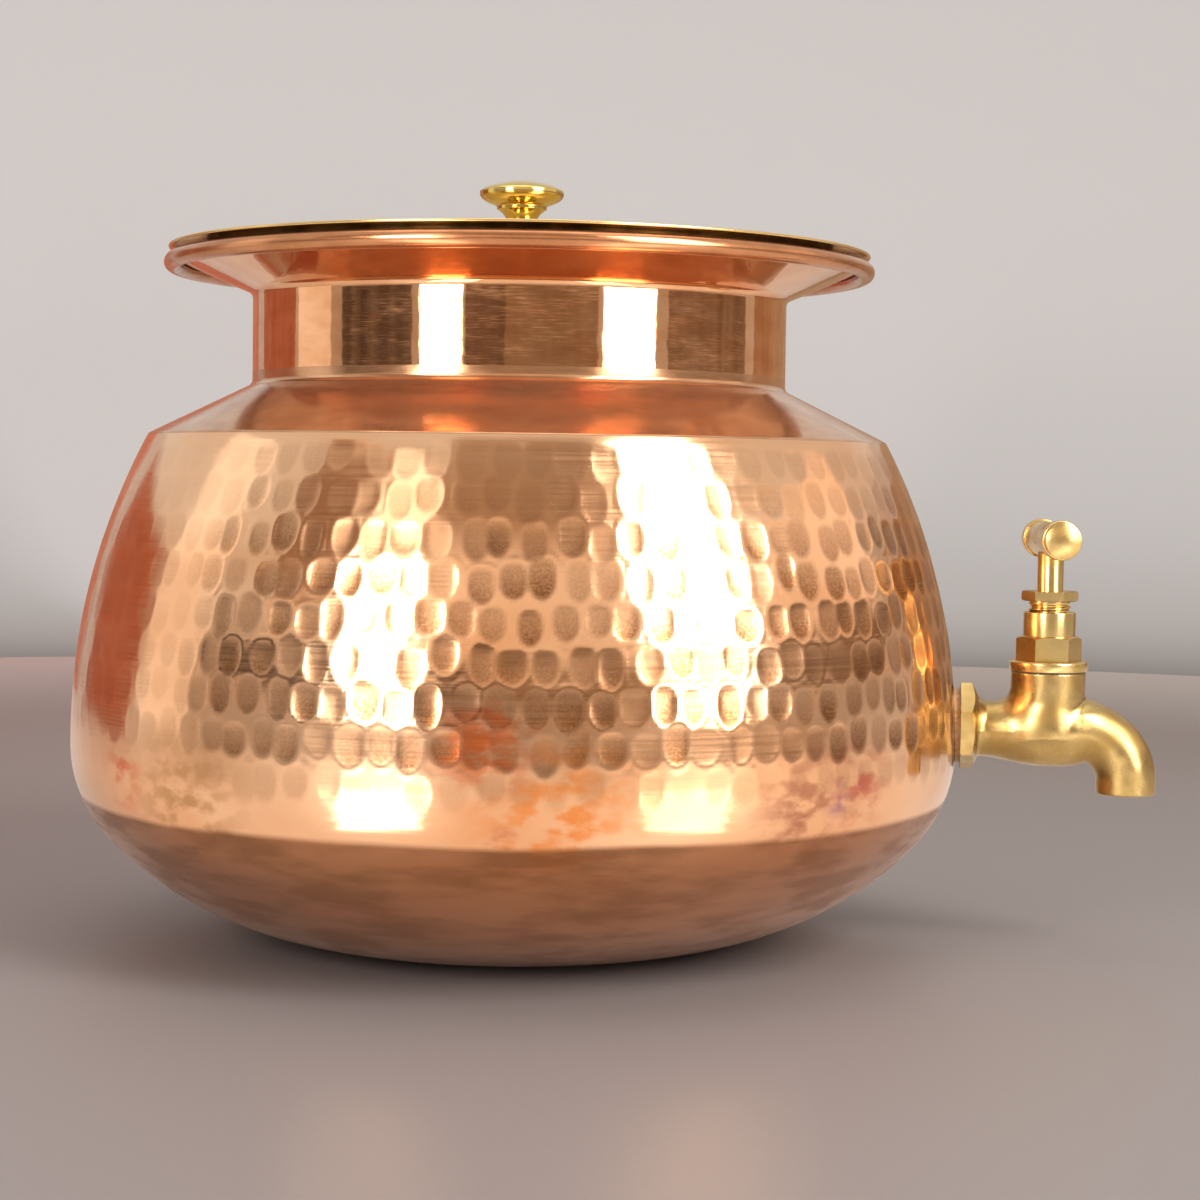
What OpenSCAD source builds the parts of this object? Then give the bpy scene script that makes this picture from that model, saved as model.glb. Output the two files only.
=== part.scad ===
// Copper water dispenser: a hammered copper pot with a wired rim, a lift-off brass lid
// and a screw-down brass tap. Origin at the centre of the base, +Z up, tap towards +X.

/* [Pot] */
// Diameter of the belly at its widest
belly_d = 300; // [280:1:320]
// Height of the widest ring above the floor
belly_z = 66; // [60:0.5:72]
// Radius of the hammered wall's upright curve
wall_arc_r = 221; // [180:1:300]
// Radius of the knuckle below the belly
knuckle_r = 45; // [36:0.5:52]
// Diameter of the flat that the pot stands on
base_flat_d = 116; // [80:1:130]
// Height of the brazed seam between base and wall
base_seam_z = 50; // [42:0.5:58]
// Height of the corner between wall and shoulder
shoulder_z = 168.5; // [155:0.5:175]
// Outside rounding of the shoulder corner
shoulder_r = 4; // [2.5:0.5:6]
// Distance from the wall's upper seam to the shoulder rounding
wall_seam_drop = 1.5; // [0.5:0.5:4]
// Thickness of the copper sheet
sheet_t = 1.2; // [0.8:0.1:1.6]

/* [Neck and rim] */
// Outside diameter of the neck
neck_d = 181; // [170:1:190]
// Rise of the shoulder from its corner to the neck
shoulder_rise = 17; // [13:0.5:21]
// Fillet between shoulder and neck
neck_fillet_r = 5; // [2:0.5:7]
// Height of the brazed neck seam above the neck's foot
neck_seam_rise = 4; // [3.7:0.1:8]
// Height of the neck from the shoulder to the flare
neck_h = 30.5; // [26:0.5:38]
// Slope of the flare from level
flare_angle = 23; // [15:1:35]
// Fillet between neck and flare
flare_fillet_r = 7; // [3:0.5:10]
// Diameter over the rolled rim
rim_d = 240; // [230:1:250]
// Diameter of the wire inside the rolled rim
rim_wire_d = 3.4; // [2.4:0.2:4.4]
// Angle left open between the roll's edge and the flare
roll_gap = 14; // [6:1:30]

/* [Lid] */
// Diameter of the lid plate
lid_d = 237; // [230:1:242]
// Thickness of the lid plate
lid_t = 1; // [0.8:0.1:1.5]
// Rise of the lid's crown from edge to middle
lid_crown = 2.5; // [1.5:0.5:6]
// Height of the lid's edge above the rolled rim
lid_gap = 1.8; // [1:0.2:4]
// Outside diameter of the locating collar under the lid
lid_collar_d = 211; // [200:1:214]
// Thickness of the locating collar
lid_collar_t = 1.2; // [0.8:0.1:2]
// Clearance between the collar's edge and the flare
lid_seat_gap = 0.3; // [0.2:0.05:0.6]

/* [Knob] */
// Height of the knob above the lid
knob_h = 22.5; // [20:0.5:28]
// Diameter of the knob's head
knob_head_d = 28.6; // [24:0.2:34]
// Height of the head's dome
knob_dome_h = 3.8; // [2:0.2:5]
// Height of the head's rim
knob_rim_h = 0.8; // [0.4:0.2:3]
// Height of the head's rounded underside
knob_under_h = 5; // [3:0.1:6]
// Diameter of the knob's collar and foot
knob_foot_d = 17; // [14:0.5:20]
// Height of the collar and of the foot
knob_foot_h = 1.8; // [1:0.1:2.5]
// Diameter of the knob's waist
knob_waist_d = 9.4; // [8:0.2:12]
// Diameter of the knob's fixing screw
knob_screw_d = 5; // [4:0.5:6]
// Depth of the screw's hole in the knob
knob_screw_l = 12; // [8:0.5:14]

/* [Tap body] */
// Height of the tap's inlet above the floor
tap_z = 74; // [70:0.5:90]
// Distance from the flange's face to the tap's upright axis
tap_stem_l = 28.9; // [28.5:0.1:36]
// Width across the flats of the inlet flange
flange_af = 25.4; // [25.2:0.1:32]
// Turn of the flange's hexagon about the inlet's axis
flange_turn = 7; // [-30:1:30]
// Length of the flange's flats
flange_t = 3.9; // [3:0.1:5]
// Length of the cone behind the flange
flange_cone_l = 3.3; // [2:0.1:4.5]
// Outside diameter of the inlet barrel
inlet_d = 17.7; // [17.3:0.1:20]
// Fillet between the inlet barrel and the body
inlet_fillet_r = 8; // [5:0.5:9]
// Diameter of the body's round belly
body_d = 24.5; // [23:0.1:25.5]
// Diameter of the upright chamber
chamber_d = 24.7; // [23.5:0.1:27]
// Height of the chamber's top face above the inlet axis
chamber_top = 18.8; // [18:0.1:22]
// Diameter of the bore that takes the bonnet
chamber_bore_d = 18; // [17.5:0.1:19]
// Diameter of the threaded tail
tail_d = 16.7; // [15.5:0.1:17.2]
// Length of the threaded tail
tail_l = 17; // [14:0.5:24]
// Bore of the inlet
inlet_bore_d = 11; // [9:0.5:12]
// Bore of the throat under the valve seat
throat_d = 6.5; // [5:0.5:7]

/* [Spout] */
// Outside diameter of the spout
spout_d = 20.1; // [18.5:0.1:21.5]
// Bore of the spout
spout_bore_d = 14; // [12:0.5:15]
// Distance from the tap's upright axis to the spout's axis
spout_reach = 26; // [24:0.1:32]
// Bend radius of the spout's centre line
spout_bend_r = 18.2; // [16:0.1:18.2]
// Length of the straight mouth below the bend
spout_mouth_l = 3.3; // [3:0.1:10]

/* [Valve] */
// Bore of the valve seat
seat_bore_d = 9; // [8.5:0.1:9.4]
// Height of the seat's lip above the inlet axis
seat_z = 7; // [6.8:0.1:8]
// Height of the seat's lip above its web
seat_lip_h = 1.5; // [1:0.1:1.6]
// Thickness of the web that carries the seat
web_t = 2.5; // [1.5:0.1:3]
// How far the valve rises when it is fully open
valve_lift = 5; // [3:0.5:5.5]
// Diameter of the jumper's disc
jumper_d = 13; // [12:0.2:13.6]
// Thickness of the jumper's disc
jumper_t = 2.5; // [1.5:0.1:3]
// Diameter of the jumper's stem
jumper_stem_d = 5; // [4:0.1:6]
// Length of the jumper's stem
jumper_stem_l = 8; // [5:0.5:10]
// Thickness of the rubber seat washer
seat_washer_t = 3; // [2:0.1:3.5]
// Diameter of the stud that holds the seat washer
stud_d = 4; // [3:0.1:4.4]
// Width across the flats of the seat washer's nut
stud_nut_af = 7; // [6.5:0.1:7.2]
// Thickness of the seat washer's nut
stud_nut_t = 2.4; // [1.5:0.1:3]

/* [Headwork] */
// Thickness of the bonnet gasket
gasket_t = 0.5; // [0.4:0.1:1]
// Diameter of the bonnet's collar
bonnet_collar_d = 25.8; // [25:0.1:28]
// Height of the bonnet's collar
bonnet_collar_h = 3.3; // [2.5:0.1:5]
// Width across the flats of the bonnet's hexagon
bonnet_af = 18.8; // [18:0.1:22]
// Height of the bonnet's hexagon
bonnet_hex_h = 8.3; // [6:0.1:10]
// Turn of the bonnet's hexagon about its axis
bonnet_turn = 3; // [-30:1:30]
// Diameter of the bonnet's round top
bonnet_top_d = 17.3; // [16.8:0.1:18]
// Height of the bonnet's round top
bonnet_top_h = 8; // [7.8:0.1:12]
// Length of the bonnet's threaded skirt
skirt_l = 6; // [4:0.1:6.5]
// Bore of the skirt
skirt_bore_d = 14.4; // [14.2:0.1:15]
// Diameter of the packing chamber and the gland nut's thread
gland_d = 14; // [13:0.1:14.4]
// Height of the packing ring
packing_h = 3; // [2:0.1:3.5]
// Length of the gland nut's thread that shows
gland_show = 3.7; // [1:0.1:4.5]
// Width across the flats of the gland nut
gland_af = 16.2; // [14.8:0.1:17]
// Height of the gland nut's hexagon
gland_hex_h = 3.2; // [2.5:0.1:5]
// Turn of the gland nut about its axis
gland_turn = -15; // [-30:1:30]
// Diameter of the spindle
spindle_d = 8.6; // [8:0.1:9.4]
// Diameter of the spindle's screw
screw_d = 11; // [10.4:0.1:12]
// Length of the spindle's screw
screw_l = 13; // [10:0.5:13.5]

/* [Handle] */
// Height of the T-bar's axis above the inlet axis
tee_z = 63.1; // [60:0.1:70]
// Length of the T-bar
tee_l = 44; // [36:0.5:56]
// Turn of the T-bar about the spindle when the tap is shut
tee_turn = 8; // [-45:1:45]
// Diameter of the T-bar
tee_d = 11.8; // [11:0.1:14]
// Diameter of the rings near the T-bar's ends
tee_ring_d = 13.4; // [12.8:0.1:16]
// Width of each ring
tee_ring_w = 4; // [2.5:0.1:6]
// Diameter of the groove beside each ring
tee_groove_d = 10.4; // [9:0.1:10.8]
// Width of each groove
tee_groove_w = 0.9; // [0.5:0.1:1.5]
// Height of the domes on the T-bar's ends
tee_dome_h = 2.2; // [1:0.1:3]

/* [Wall fixing] */
// Thickness of the outer washer at the middle of the wall hole
outer_washer_t = 1.5; // [1:0.1:3]
// Diameter of the washers on both sides of the wall
washer_d = 25; // [24:0.5:27]
// Thickness of the inner washer at the middle of the wall hole
inner_washer_t = 2.2; // [1.8:0.1:3]
// Width across the flats of the back nut
back_nut_af = 24; // [22:0.5:27]
// Thickness of the back nut
back_nut_t = 6; // [4:0.5:7]

/* [Clearances] */
// Radial clearance of the wall hole round the tail
hole_gap = 0.3; // [0.2:0.05:0.6]
// Radial clearance of threads, which are drawn as plain cylinders
thread_gap = 0.1; // [0.05:0.01:0.15]
// Radial clearance of the turning spindle and the jumper's stem
run_gap = 0.05; // [0.03:0.01:0.08]
// Clearance between fitted pieces that don't move on each other
fit_gap = 0.03; // [0.02:0.01:0.05]

/* [Hidden] */
// Segments of a circle, and of the pot's large curves
$fn = 96;
fine = 256;

copper = "#cf8a5c";
cast_brass = "#c9a652";
turned_brass = "#d4b25c";
sheet_brass = "#b99a56";
fibre = "#e4dcc8";
rubber = "#2b2a29";

// Angle between the points of a small arc and of the lid's crown, and the overlap of the base's two arcs
arc_step = 6;
crown_step = 0.1;
lap_a = 0.01;

// Plane geometry helpers
function unit(v) = v / norm(v);
function left(u) = [-u[1], u[0]];
function right(u) = [u[1], -u[0]];
function polar(r, a) = r * [cos(a), sin(a)];
function heading(u) = atan2(u[1], u[0]);
function arc(c, r, from, to, step = arc_step) =
    let (steps = ceil(abs(to - from) / step))
    [for (i = [0:steps]) c + polar(r, from + (to - from) * i / steps)];

// Pot outline: radius and height of the outside surface, from the base upwards
belly_r = belly_d / 2;
base_r = base_flat_d / 2;
neck_r = neck_d / 2;
knuckle_c = [belly_r - knuckle_r, belly_z];
wall_c = [belly_r - wall_arc_r, belly_z];
base_run = knuckle_c[0] - base_r;
base_arc_r = (base_run ^ 2 + belly_z ^ 2 - knuckle_r ^ 2) / (2 * (belly_z - knuckle_r));
base_c = [base_r, base_arc_r];
base_end_a = heading(knuckle_c - base_c);
base_seam_a = asin((base_seam_z - belly_z) / knuckle_r);
function wall_r(z) = wall_c[0] + sqrt(wall_arc_r ^ 2 - (z - belly_z) ^ 2);

// Shoulder: a straight slope between the wall's end and the neck's foot
shoulder_p = [wall_r(shoulder_z), shoulder_z];
neck_z = shoulder_z + shoulder_rise;
neck_p = [neck_r, neck_z];
slope_u = unit(neck_p - shoulder_p);
// The corner's rounding touches the wall's arc from inside, and the slope
corner_w = shoulder_p + shoulder_r * left(slope_u) - wall_c;
corner_run = -corner_w * slope_u
    - sqrt((corner_w * slope_u) ^ 2 - corner_w * corner_w + (wall_arc_r - shoulder_r) ^ 2);
corner_c = wall_c + corner_w + corner_run * slope_u;
corner_start_a = heading(corner_c - wall_c);
corner_end_a = heading(right(slope_u));
wall_seam_a = corner_start_a - wall_seam_drop / wall_arc_r * 180 / PI;

// Neck foot, neck seam and flare
foot_turn = acos(slope_u[1]);
foot_run = neck_fillet_r * tan(foot_turn / 2);
foot_c = neck_p + [neck_fillet_r, foot_run];
neck_seam_z = neck_z + neck_seam_rise;
flare_z = neck_z + neck_h;
flare_u = [cos(flare_angle), sin(flare_angle)];
flare_run = flare_fillet_r * tan((90 - flare_angle) / 2);
flare_p = [neck_r, flare_z];
flare_c = flare_p + [flare_fillet_r, -flare_run];

// Rolled rim: the flare's underside touches the wire, and the sheet goes round it
wire_r = rim_wire_d / 2;
roll_r = wire_r + sheet_t;
roll_a = heading(left(flare_u));
roll_c_r = rim_d / 2 - roll_r;
roll_touch_r = roll_c_r + wire_r * cos(roll_a);
flare_end = flare_p + (roll_touch_r - neck_r) / flare_u[0] * flare_u;
roll_c = flare_end - wire_r * left(flare_u);
roll_end_a = roll_a + acos(wire_r / roll_r) + roll_gap;
rim_top_z = roll_c[1] + roll_r;
function flare_top(r) = flare_z + (r - neck_r) * tan(flare_angle) + sheet_t / cos(flare_angle);

// Lid: a shallow crown, with the collar's edge just above the flare
lid_r = lid_d / 2;
lid_edge_z = rim_top_z + lid_gap;
crown_r = (lid_r ^ 2 + lid_crown ^ 2) / (2 * lid_crown);
crown_c = [0, lid_edge_z + lid_t + lid_crown - crown_r];
lid_top_z = lid_edge_z + lid_t + lid_crown;
function lid_under(r) = crown_c[1] + sqrt((crown_r - lid_t) ^ 2 - r ^ 2);
lid_collar_r = lid_collar_d / 2;

// Knob
knob_head_r = knob_head_d / 2;
knob_foot_r = knob_foot_d / 2;
knob_head_z = knob_h - knob_dome_h - knob_rim_h - knob_under_h;
// The collar reaches up to where the rounded underside is as wide as the collar
knob_collar_z = knob_head_z + knob_under_h * (1 - sqrt(1 - (knob_foot_r / knob_head_r) ^ 2));
knob_neck_h = knob_collar_z - 2 * knob_foot_h;
knob_waist_cut = (knob_foot_d - knob_waist_d) / 2;
knob_waist_r = (knob_neck_h ^ 2 / 4 + knob_waist_cut ^ 2) / (2 * knob_waist_cut);
knob_screw_head_d = 1.8 * knob_screw_d;
knob_screw_head_h = 0.6 * knob_screw_d;
knob_washer_d = 2.4 * knob_screw_d;
knob_washer_t = 0.2 * knob_screw_d;

// Tap: heights from the inlet axis, distances from the upright axis
flange_x = -tap_stem_l;
tap_x = wall_r(tap_z) + outer_washer_t + tap_stem_l;
wall_x = wall_r(tap_z) - tap_x;
nut_x = wall_x - sheet_t - inner_washer_t;
inlet_r = inlet_d / 2;
body_r = body_d / 2;
chamber_r = chamber_d / 2;
// Where the body's belly ends in a ball in front of the spout
ball_x = spout_reach - spout_bend_r - sqrt(body_r ^ 2 - (spout_d / 2) ^ 2);
bend_c = [spout_reach - spout_bend_r, -spout_bend_r];
web_top = seat_z - seat_lip_h;
seat_lip_d = jumper_d - 1;
lip_margin = 0.3;
lower_bore_d = seat_bore_d + 2;
floor_t = 5;
lower_floor = floor_t - body_r;
// Port from the upper chamber down into the spout, clear of the seat's lip
port_d = 5.2;
port_h = 5;
port_x = seat_lip_d / 2 + port_d / 2 + lip_margin;
port_z = web_top - 1.5;

// Headwork heights, with room above the raised disc and screw
disc_headroom = 3;
screw_headroom = 0.5;
packing_floor_t = 1.5;
collar_z = chamber_top + gasket_t;
hex_z = collar_z + bonnet_collar_h;
top_z = hex_z + bonnet_hex_h;
bonnet_end = top_z + bonnet_top_h;
skirt_z = chamber_top - skirt_l;
disc_z = seat_z + seat_washer_t;
disc_top = disc_z + jumper_t;
skirt_top = disc_top + valve_lift + disc_headroom;
spindle_z = disc_top + run_gap;
screw_top = spindle_z + screw_l;
screw_room = screw_top + valve_lift + screw_headroom;
packing_z = screw_room + packing_floor_t;
gland_z = packing_z + packing_h;
gland_hex_z = bonnet_end + gland_show;
chamfer = 0.8;
gasket_inset = 0.2;

// T-bar
tee_end = tee_l / 2 - tee_dome_h;
tee_button_h = 0.6;
tee_groove_y = tee_end - tee_button_h - tee_groove_w;
tee_dome_r = (tee_d ^ 2 / 4 + tee_dome_h ^ 2) / (2 * tee_dome_h);

// Sheet of thickness t just inside radius r, between two angles
module arc_band(centre, r, t, from, to) {
    reach = 2 * r;
    translate(centre) intersection() {
        difference() {
            circle(r, $fn = fine);
            circle(r - t, $fn = fine);
        }
        polygon([[0, 0], polar(reach, from), polar(reach, (from + to) / 2), polar(reach, to)]);
    }
}

// Plane area inside the pot's side near the tap, set back from the outside by inset
module side_area(inset) {
    reach = washer_d;
    intersection() {
        translate(wall_c) circle(wall_arc_r - inset, $fn = fine);
        translate([0, belly_z]) square([belly_d, reach + tap_z - belly_z]);
    }
    intersection() {
        translate(knuckle_c) circle(knuckle_r - inset, $fn = fine);
        translate([knuckle_c[0], belly_z - reach]) square([belly_d, reach]);
    }
    translate([0, belly_z - reach]) square([knuckle_c[0], reach]);
}

module at_tap() {
    translate([tap_x, 0, tap_z]) children();
}

module along_x(x) {
    translate([x, 0, 0]) rotate([0, 90, 0]) children();
}

// Upright tube from z with bore d_in
module tube(z, d_out, d_in, h) {
    translate([0, 0, z]) difference() {
        cylinder(d = d_out, h = h);
        translate([0, 0, -1]) cylinder(d = d_in, h = h + 2);
    }
}

// Hexagon by its width across the flats
module hex(af, h) {
    cylinder(d = af / cos(30), h = h, $fn = 6);
}

// Hexagon with its corners turned off at the top
module turned_hex(af, h) {
    corner_d = af / cos(30);
    intersection() {
        hex(af, h);
        union() {
            cylinder(d = corner_d + 1, h = h - chamfer);
            translate([0, 0, h - chamfer])
                cylinder(d1 = corner_d, d2 = af - 2 * chamfer, h = chamfer);
        }
    }
}

// Smooth base with the flat that the pot stands on, brazed into the wall
module pot_base() {
    color(copper) rotate_extrude($fn = fine) {
        square([base_r, sheet_t]);
        arc_band(base_c, base_arc_r, sheet_t, -90, base_end_a);
        arc_band(knuckle_c, knuckle_r, sheet_t, base_end_a - lap_a, base_seam_a);
    }
}

// Hammered wall with the hole for the tap
module pot_wall() {
    color(copper) difference() {
        rotate_extrude($fn = fine) {
            arc_band(knuckle_c, knuckle_r, sheet_t, base_seam_a, 0);
            arc_band(wall_c, wall_arc_r, sheet_t, 0, wall_seam_a);
        }
        translate([knuckle_c[0], 0, tap_z]) rotate([0, 90, 0])
            cylinder(d = tail_d + 2 * hole_gap, h = belly_r);
    }
}

// Shoulder with its turned-up collar, brazed to the wall
module shoulder_ring() {
    outside = concat([wall_c + polar(wall_arc_r, wall_seam_a)],
                     arc(corner_c, shoulder_r, corner_start_a, corner_end_a),
                     arc(foot_c, neck_fillet_r, 180 + foot_turn, 180),
                     [[neck_r, neck_seam_z]]);
    inside = concat([[neck_r - sheet_t, neck_seam_z]],
                    arc(foot_c, neck_fillet_r + sheet_t, 180, 180 + foot_turn),
                    arc(corner_c, shoulder_r - sheet_t, corner_end_a, corner_start_a),
                    [wall_c + polar(wall_arc_r - sheet_t, wall_seam_a)]);
    color(copper) rotate_extrude($fn = fine) polygon(concat(outside, inside));
}

// Neck, flare and the edge rolled round the wire
module neck_flare() {
    outside = concat([[neck_r, neck_seam_z]],
                     arc(flare_c, flare_fillet_r, 180, roll_a),
                     arc(roll_c, wire_r, roll_a, roll_end_a - 360));
    inside = concat(arc(roll_c, roll_r, roll_end_a - 360, roll_a),
                    arc(flare_c, flare_fillet_r + sheet_t, roll_a, 180),
                    [[neck_r - sheet_t, neck_seam_z]]);
    color(copper) rotate_extrude($fn = fine) polygon(concat(outside, inside));
}

module rim_wire() {
    color(copper) rotate_extrude($fn = fine) translate(roll_c) circle(wire_r - fit_gap);
}

module lid_plate() {
    under_r = crown_r - lid_t;
    outside = arc(crown_c, crown_r, 90, acos(lid_r / crown_r), crown_step);
    inside = arc(crown_c, under_r, acos(lid_r / under_r), 90, crown_step);
    color(sheet_brass) difference() {
        rotate_extrude($fn = fine) polygon(concat(outside, inside));
        translate([0, 0, lid_edge_z])
            cylinder(d = knob_screw_d + 2 * thread_gap, h = lid_crown + 2 * lid_t);
    }
}

// Ring brazed under the lid, whose edge stands on the flare's slope
module lid_collar() {
    foot_z = flare_top(lid_collar_r) + lid_seat_gap;
    collar_h = lid_under(lid_collar_r) - fit_gap - foot_z;
    color(sheet_brass)
        tube(foot_z, lid_collar_d, lid_collar_d - 2 * lid_collar_t, collar_h, $fn = fine);
}

// Turned knob whose head has a rounded underside and a flatter dome
module lid_knob() {
    rim_z = knob_head_z + knob_under_h;
    dome_z = rim_z + knob_rim_h;
    under = [for (a = [0:arc_step:90]) [knob_head_r * sin(a), rim_z - knob_under_h * cos(a)]];
    dome = [for (a = [0:arc_step:90])
            [knob_head_r * cos(a), dome_z + knob_dome_h * (sin(a) + sin(a) ^ 2) / 2]];
    color(turned_brass) translate([0, 0, lid_top_z]) difference() {
        rotate_extrude() {
            difference() {
                square([knob_foot_r, knob_collar_z]);
                translate([knob_waist_d / 2 + knob_waist_r, knob_collar_z / 2]) circle(knob_waist_r);
            }
            polygon(concat(under, dome));
        }
        translate([0, 0, -1]) cylinder(d = knob_screw_d + 2 * fit_gap, h = knob_screw_l + 1);
    }
}

module knob_washer() {
    color(turned_brass)
        tube(lid_top_z - lid_t - knob_washer_t, knob_washer_d, knob_screw_d + 2 * thread_gap,
             knob_washer_t - fit_gap);
}

module knob_screw() {
    head_z = lid_top_z - lid_t - knob_washer_t - knob_screw_head_h;
    color(turned_brass) {
        translate([0, 0, head_z]) cylinder(d = knob_screw_head_d, h = knob_screw_head_h);
        translate([0, 0, head_z]) cylinder(d = knob_screw_d, h = lid_top_z - head_z + knob_screw_l - 1);
    }
}

// Outside of the tap's casting
module tap_casting() {
    fillet_x = -chamber_r - inlet_fillet_r + 1;
    along_x(flange_x) rotate(flange_turn) hex(flange_af, flange_t);
    along_x(flange_x + flange_t) cylinder(d1 = flange_af, d2 = inlet_d, h = flange_cone_l);
    along_x(flange_x - tail_l) cylinder(d = tail_d, h = tail_l + 1);
    along_x(flange_x) cylinder(r = inlet_r, h = tap_stem_l);
    along_x(fillet_x) difference() {
        cylinder(r = body_r, h = ball_x - fillet_x);
        rotate_extrude() translate([inlet_r + inlet_fillet_r, 0]) circle(inlet_fillet_r);
    }
    translate([ball_x, 0, 0]) sphere(r = body_r);
    cylinder(r = chamber_r, h = chamber_top);
    spout_rod(spout_d);
}

// Spout's bend and mouth as a rod of diameter d
module spout_rod(d) {
    translate([bend_c[0], 0, bend_c[1]]) rotate([90, 0, 0])
        rotate_extrude(angle = 90) translate([spout_bend_r, 0]) circle(d = d);
    translate([spout_reach, 0, bend_c[1] - spout_mouth_l]) cylinder(d = d, h = spout_mouth_l);
}

// Water's way: inlet, throat, up through the seat, over the web and down the spout
module tap_waterway() {
    along_x(flange_x - tail_l - 1) cylinder(d = inlet_bore_d, h = tap_stem_l + tail_l + 1 - chamber_r);
    along_x(-chamber_r - 1) cylinder(d = throat_d, h = chamber_r + 1);
    translate([0, 0, lower_floor]) cylinder(d = lower_bore_d, h = web_top - web_t - lower_floor);
    cylinder(d = seat_bore_d, h = seat_z + 1);
    tube(web_top, chamber_bore_d, seat_lip_d, seat_lip_h);
    translate([0, 0, seat_z]) cylinder(d = chamber_bore_d, h = chamber_top);
    translate([port_x, 0, port_z]) cylinder(d = port_d, h = port_h);
    spout_rod(spout_bore_d);
    translate([spout_reach, 0, bend_c[1] - spout_mouth_l - 1]) cylinder(d = spout_bore_d, h = 2);
}

module tap_body() {
    color(cast_brass) at_tap() difference() {
        tap_casting();
        tap_waterway();
    }
}

// Soft washer between flange and wall, pressed to the wall's curve
module outer_washer() {
    color(fibre) difference() {
        at_tap() along_x(wall_x - 1) difference() {
            cylinder(d = washer_d, h = outer_washer_t + 1);
            translate([0, 0, -1]) cylinder(d = tail_d + 2 * hole_gap, h = outer_washer_t + 3);
        }
        rotate_extrude($fn = fine) side_area(-fit_gap);
    }
}

module inner_washer() {
    color(fibre) intersection() {
        at_tap() along_x(nut_x) difference() {
            cylinder(d = washer_d, h = inner_washer_t + sheet_t);
            translate([0, 0, -1]) cylinder(d = tail_d + 2 * hole_gap, h = inner_washer_t + sheet_t + 2);
        }
        rotate_extrude($fn = fine) side_area(sheet_t + fit_gap);
    }
}

module back_nut() {
    color(turned_brass) at_tap() along_x(nut_x - back_nut_t) difference() {
        hex(back_nut_af, back_nut_t);
        translate([0, 0, -1]) cylinder(d = tail_d + 2 * thread_gap, h = back_nut_t + 2);
    }
}

module bonnet_gasket() {
    color(rubber) at_tap() tube(chamber_top, chamber_d - 2 * gasket_inset, chamber_bore_d, gasket_t);
}

module bonnet() {
    skirt_d = chamber_bore_d - 2 * thread_gap;
    color(turned_brass) at_tap() difference() {
        union() {
            translate([0, 0, skirt_z]) cylinder(d = skirt_d, h = skirt_l + gasket_t + 1);
            translate([0, 0, collar_z]) cylinder(d = bonnet_collar_d, h = bonnet_collar_h - chamfer);
            translate([0, 0, hex_z - chamfer])
                cylinder(d1 = bonnet_collar_d, d2 = bonnet_collar_d - 2 * chamfer, h = chamfer);
            translate([0, 0, hex_z]) rotate(bonnet_turn) turned_hex(bonnet_af, bonnet_hex_h);
            translate([0, 0, hex_z]) cylinder(d = bonnet_top_d, h = bonnet_end - hex_z);
        }
        translate([0, 0, skirt_z - 1]) cylinder(d = skirt_bore_d, h = skirt_top - skirt_z + 1);
        cylinder(d = screw_d + 2 * run_gap, h = screw_room);
        cylinder(d = spindle_d + 4 * run_gap, h = bonnet_end);
        translate([0, 0, packing_z]) cylinder(d = gland_d, h = bonnet_end);
    }
}

module gland_packing() {
    color(fibre) at_tap()
        tube(packing_z, gland_d - 2 * thread_gap, spindle_d + 2 * run_gap, packing_h);
}

module gland_nut() {
    color(turned_brass) at_tap() difference() {
        union() {
            translate([0, 0, gland_z])
                cylinder(d = gland_d - 2 * thread_gap, h = gland_hex_z - gland_z + 1);
            translate([0, 0, gland_hex_z]) rotate(gland_turn) turned_hex(gland_af, gland_hex_h);
        }
        translate([0, 0, gland_z - 1]) cylinder(d = spindle_d + 4 * run_gap, h = bonnet_end);
    }
}

module spindle() {
    color(turned_brass) at_tap() difference() {
        union() {
            translate([0, 0, spindle_z]) cylinder(d = screw_d, h = screw_l);
            translate([0, 0, spindle_z]) cylinder(d = spindle_d, h = tee_z - spindle_z);
        }
        translate([0, 0, spindle_z - 1])
            cylinder(d = jumper_stem_d + 2 * run_gap, h = jumper_stem_l + 2);
    }
}

// Half of the T-bar, from its middle to its domed end
module tee_half() {
    rotate_extrude() {
        difference() {
            square([tee_d / 2, tee_end]);
            translate([tee_groove_d / 2, tee_groove_y]) square([tee_d, tee_groove_w]);
        }
        translate([0, tee_groove_y - tee_ring_w]) square([tee_ring_d / 2, tee_ring_w]);
        intersection() {
            translate([0, tee_end + tee_dome_h - tee_dome_r]) circle(tee_dome_r);
            translate([0, tee_end]) square([tee_d / 2, tee_dome_h]);
        }
    }
}

module tee_handle() {
    color(turned_brass) at_tap() difference() {
        translate([0, 0, tee_z]) for (side = [-90, 90]) rotate([side, 0, tee_turn]) tee_half();
        translate([0, 0, tee_z - tee_d]) cylinder(d = spindle_d + 2 * fit_gap, h = tee_d + fit_gap);
    }
}

// Disc that closes the seat, with a stem in the spindle's end and a stud for the washer
module jumper_valve() {
    color(turned_brass) at_tap() {
        translate([0, 0, disc_z]) cylinder(d = jumper_d, h = jumper_t);
        translate([0, 0, disc_z]) cylinder(d = jumper_stem_d, h = jumper_t + jumper_stem_l);
        translate([0, 0, seat_z - stud_nut_t]) cylinder(d = stud_d, h = stud_nut_t + seat_washer_t + 1);
    }
}

module seat_washer() {
    color(rubber) at_tap() tube(seat_z, seat_lip_d + 2 * lip_margin, stud_d + 2 * fit_gap, seat_washer_t);
}

module washer_nut() {
    color(turned_brass) at_tap() translate([0, 0, seat_z - stud_nut_t]) difference() {
        hex(stud_nut_af, stud_nut_t);
        translate([0, 0, -1]) cylinder(d = stud_d + 2 * fit_gap, h = stud_nut_t + 2);
    }
}

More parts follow.
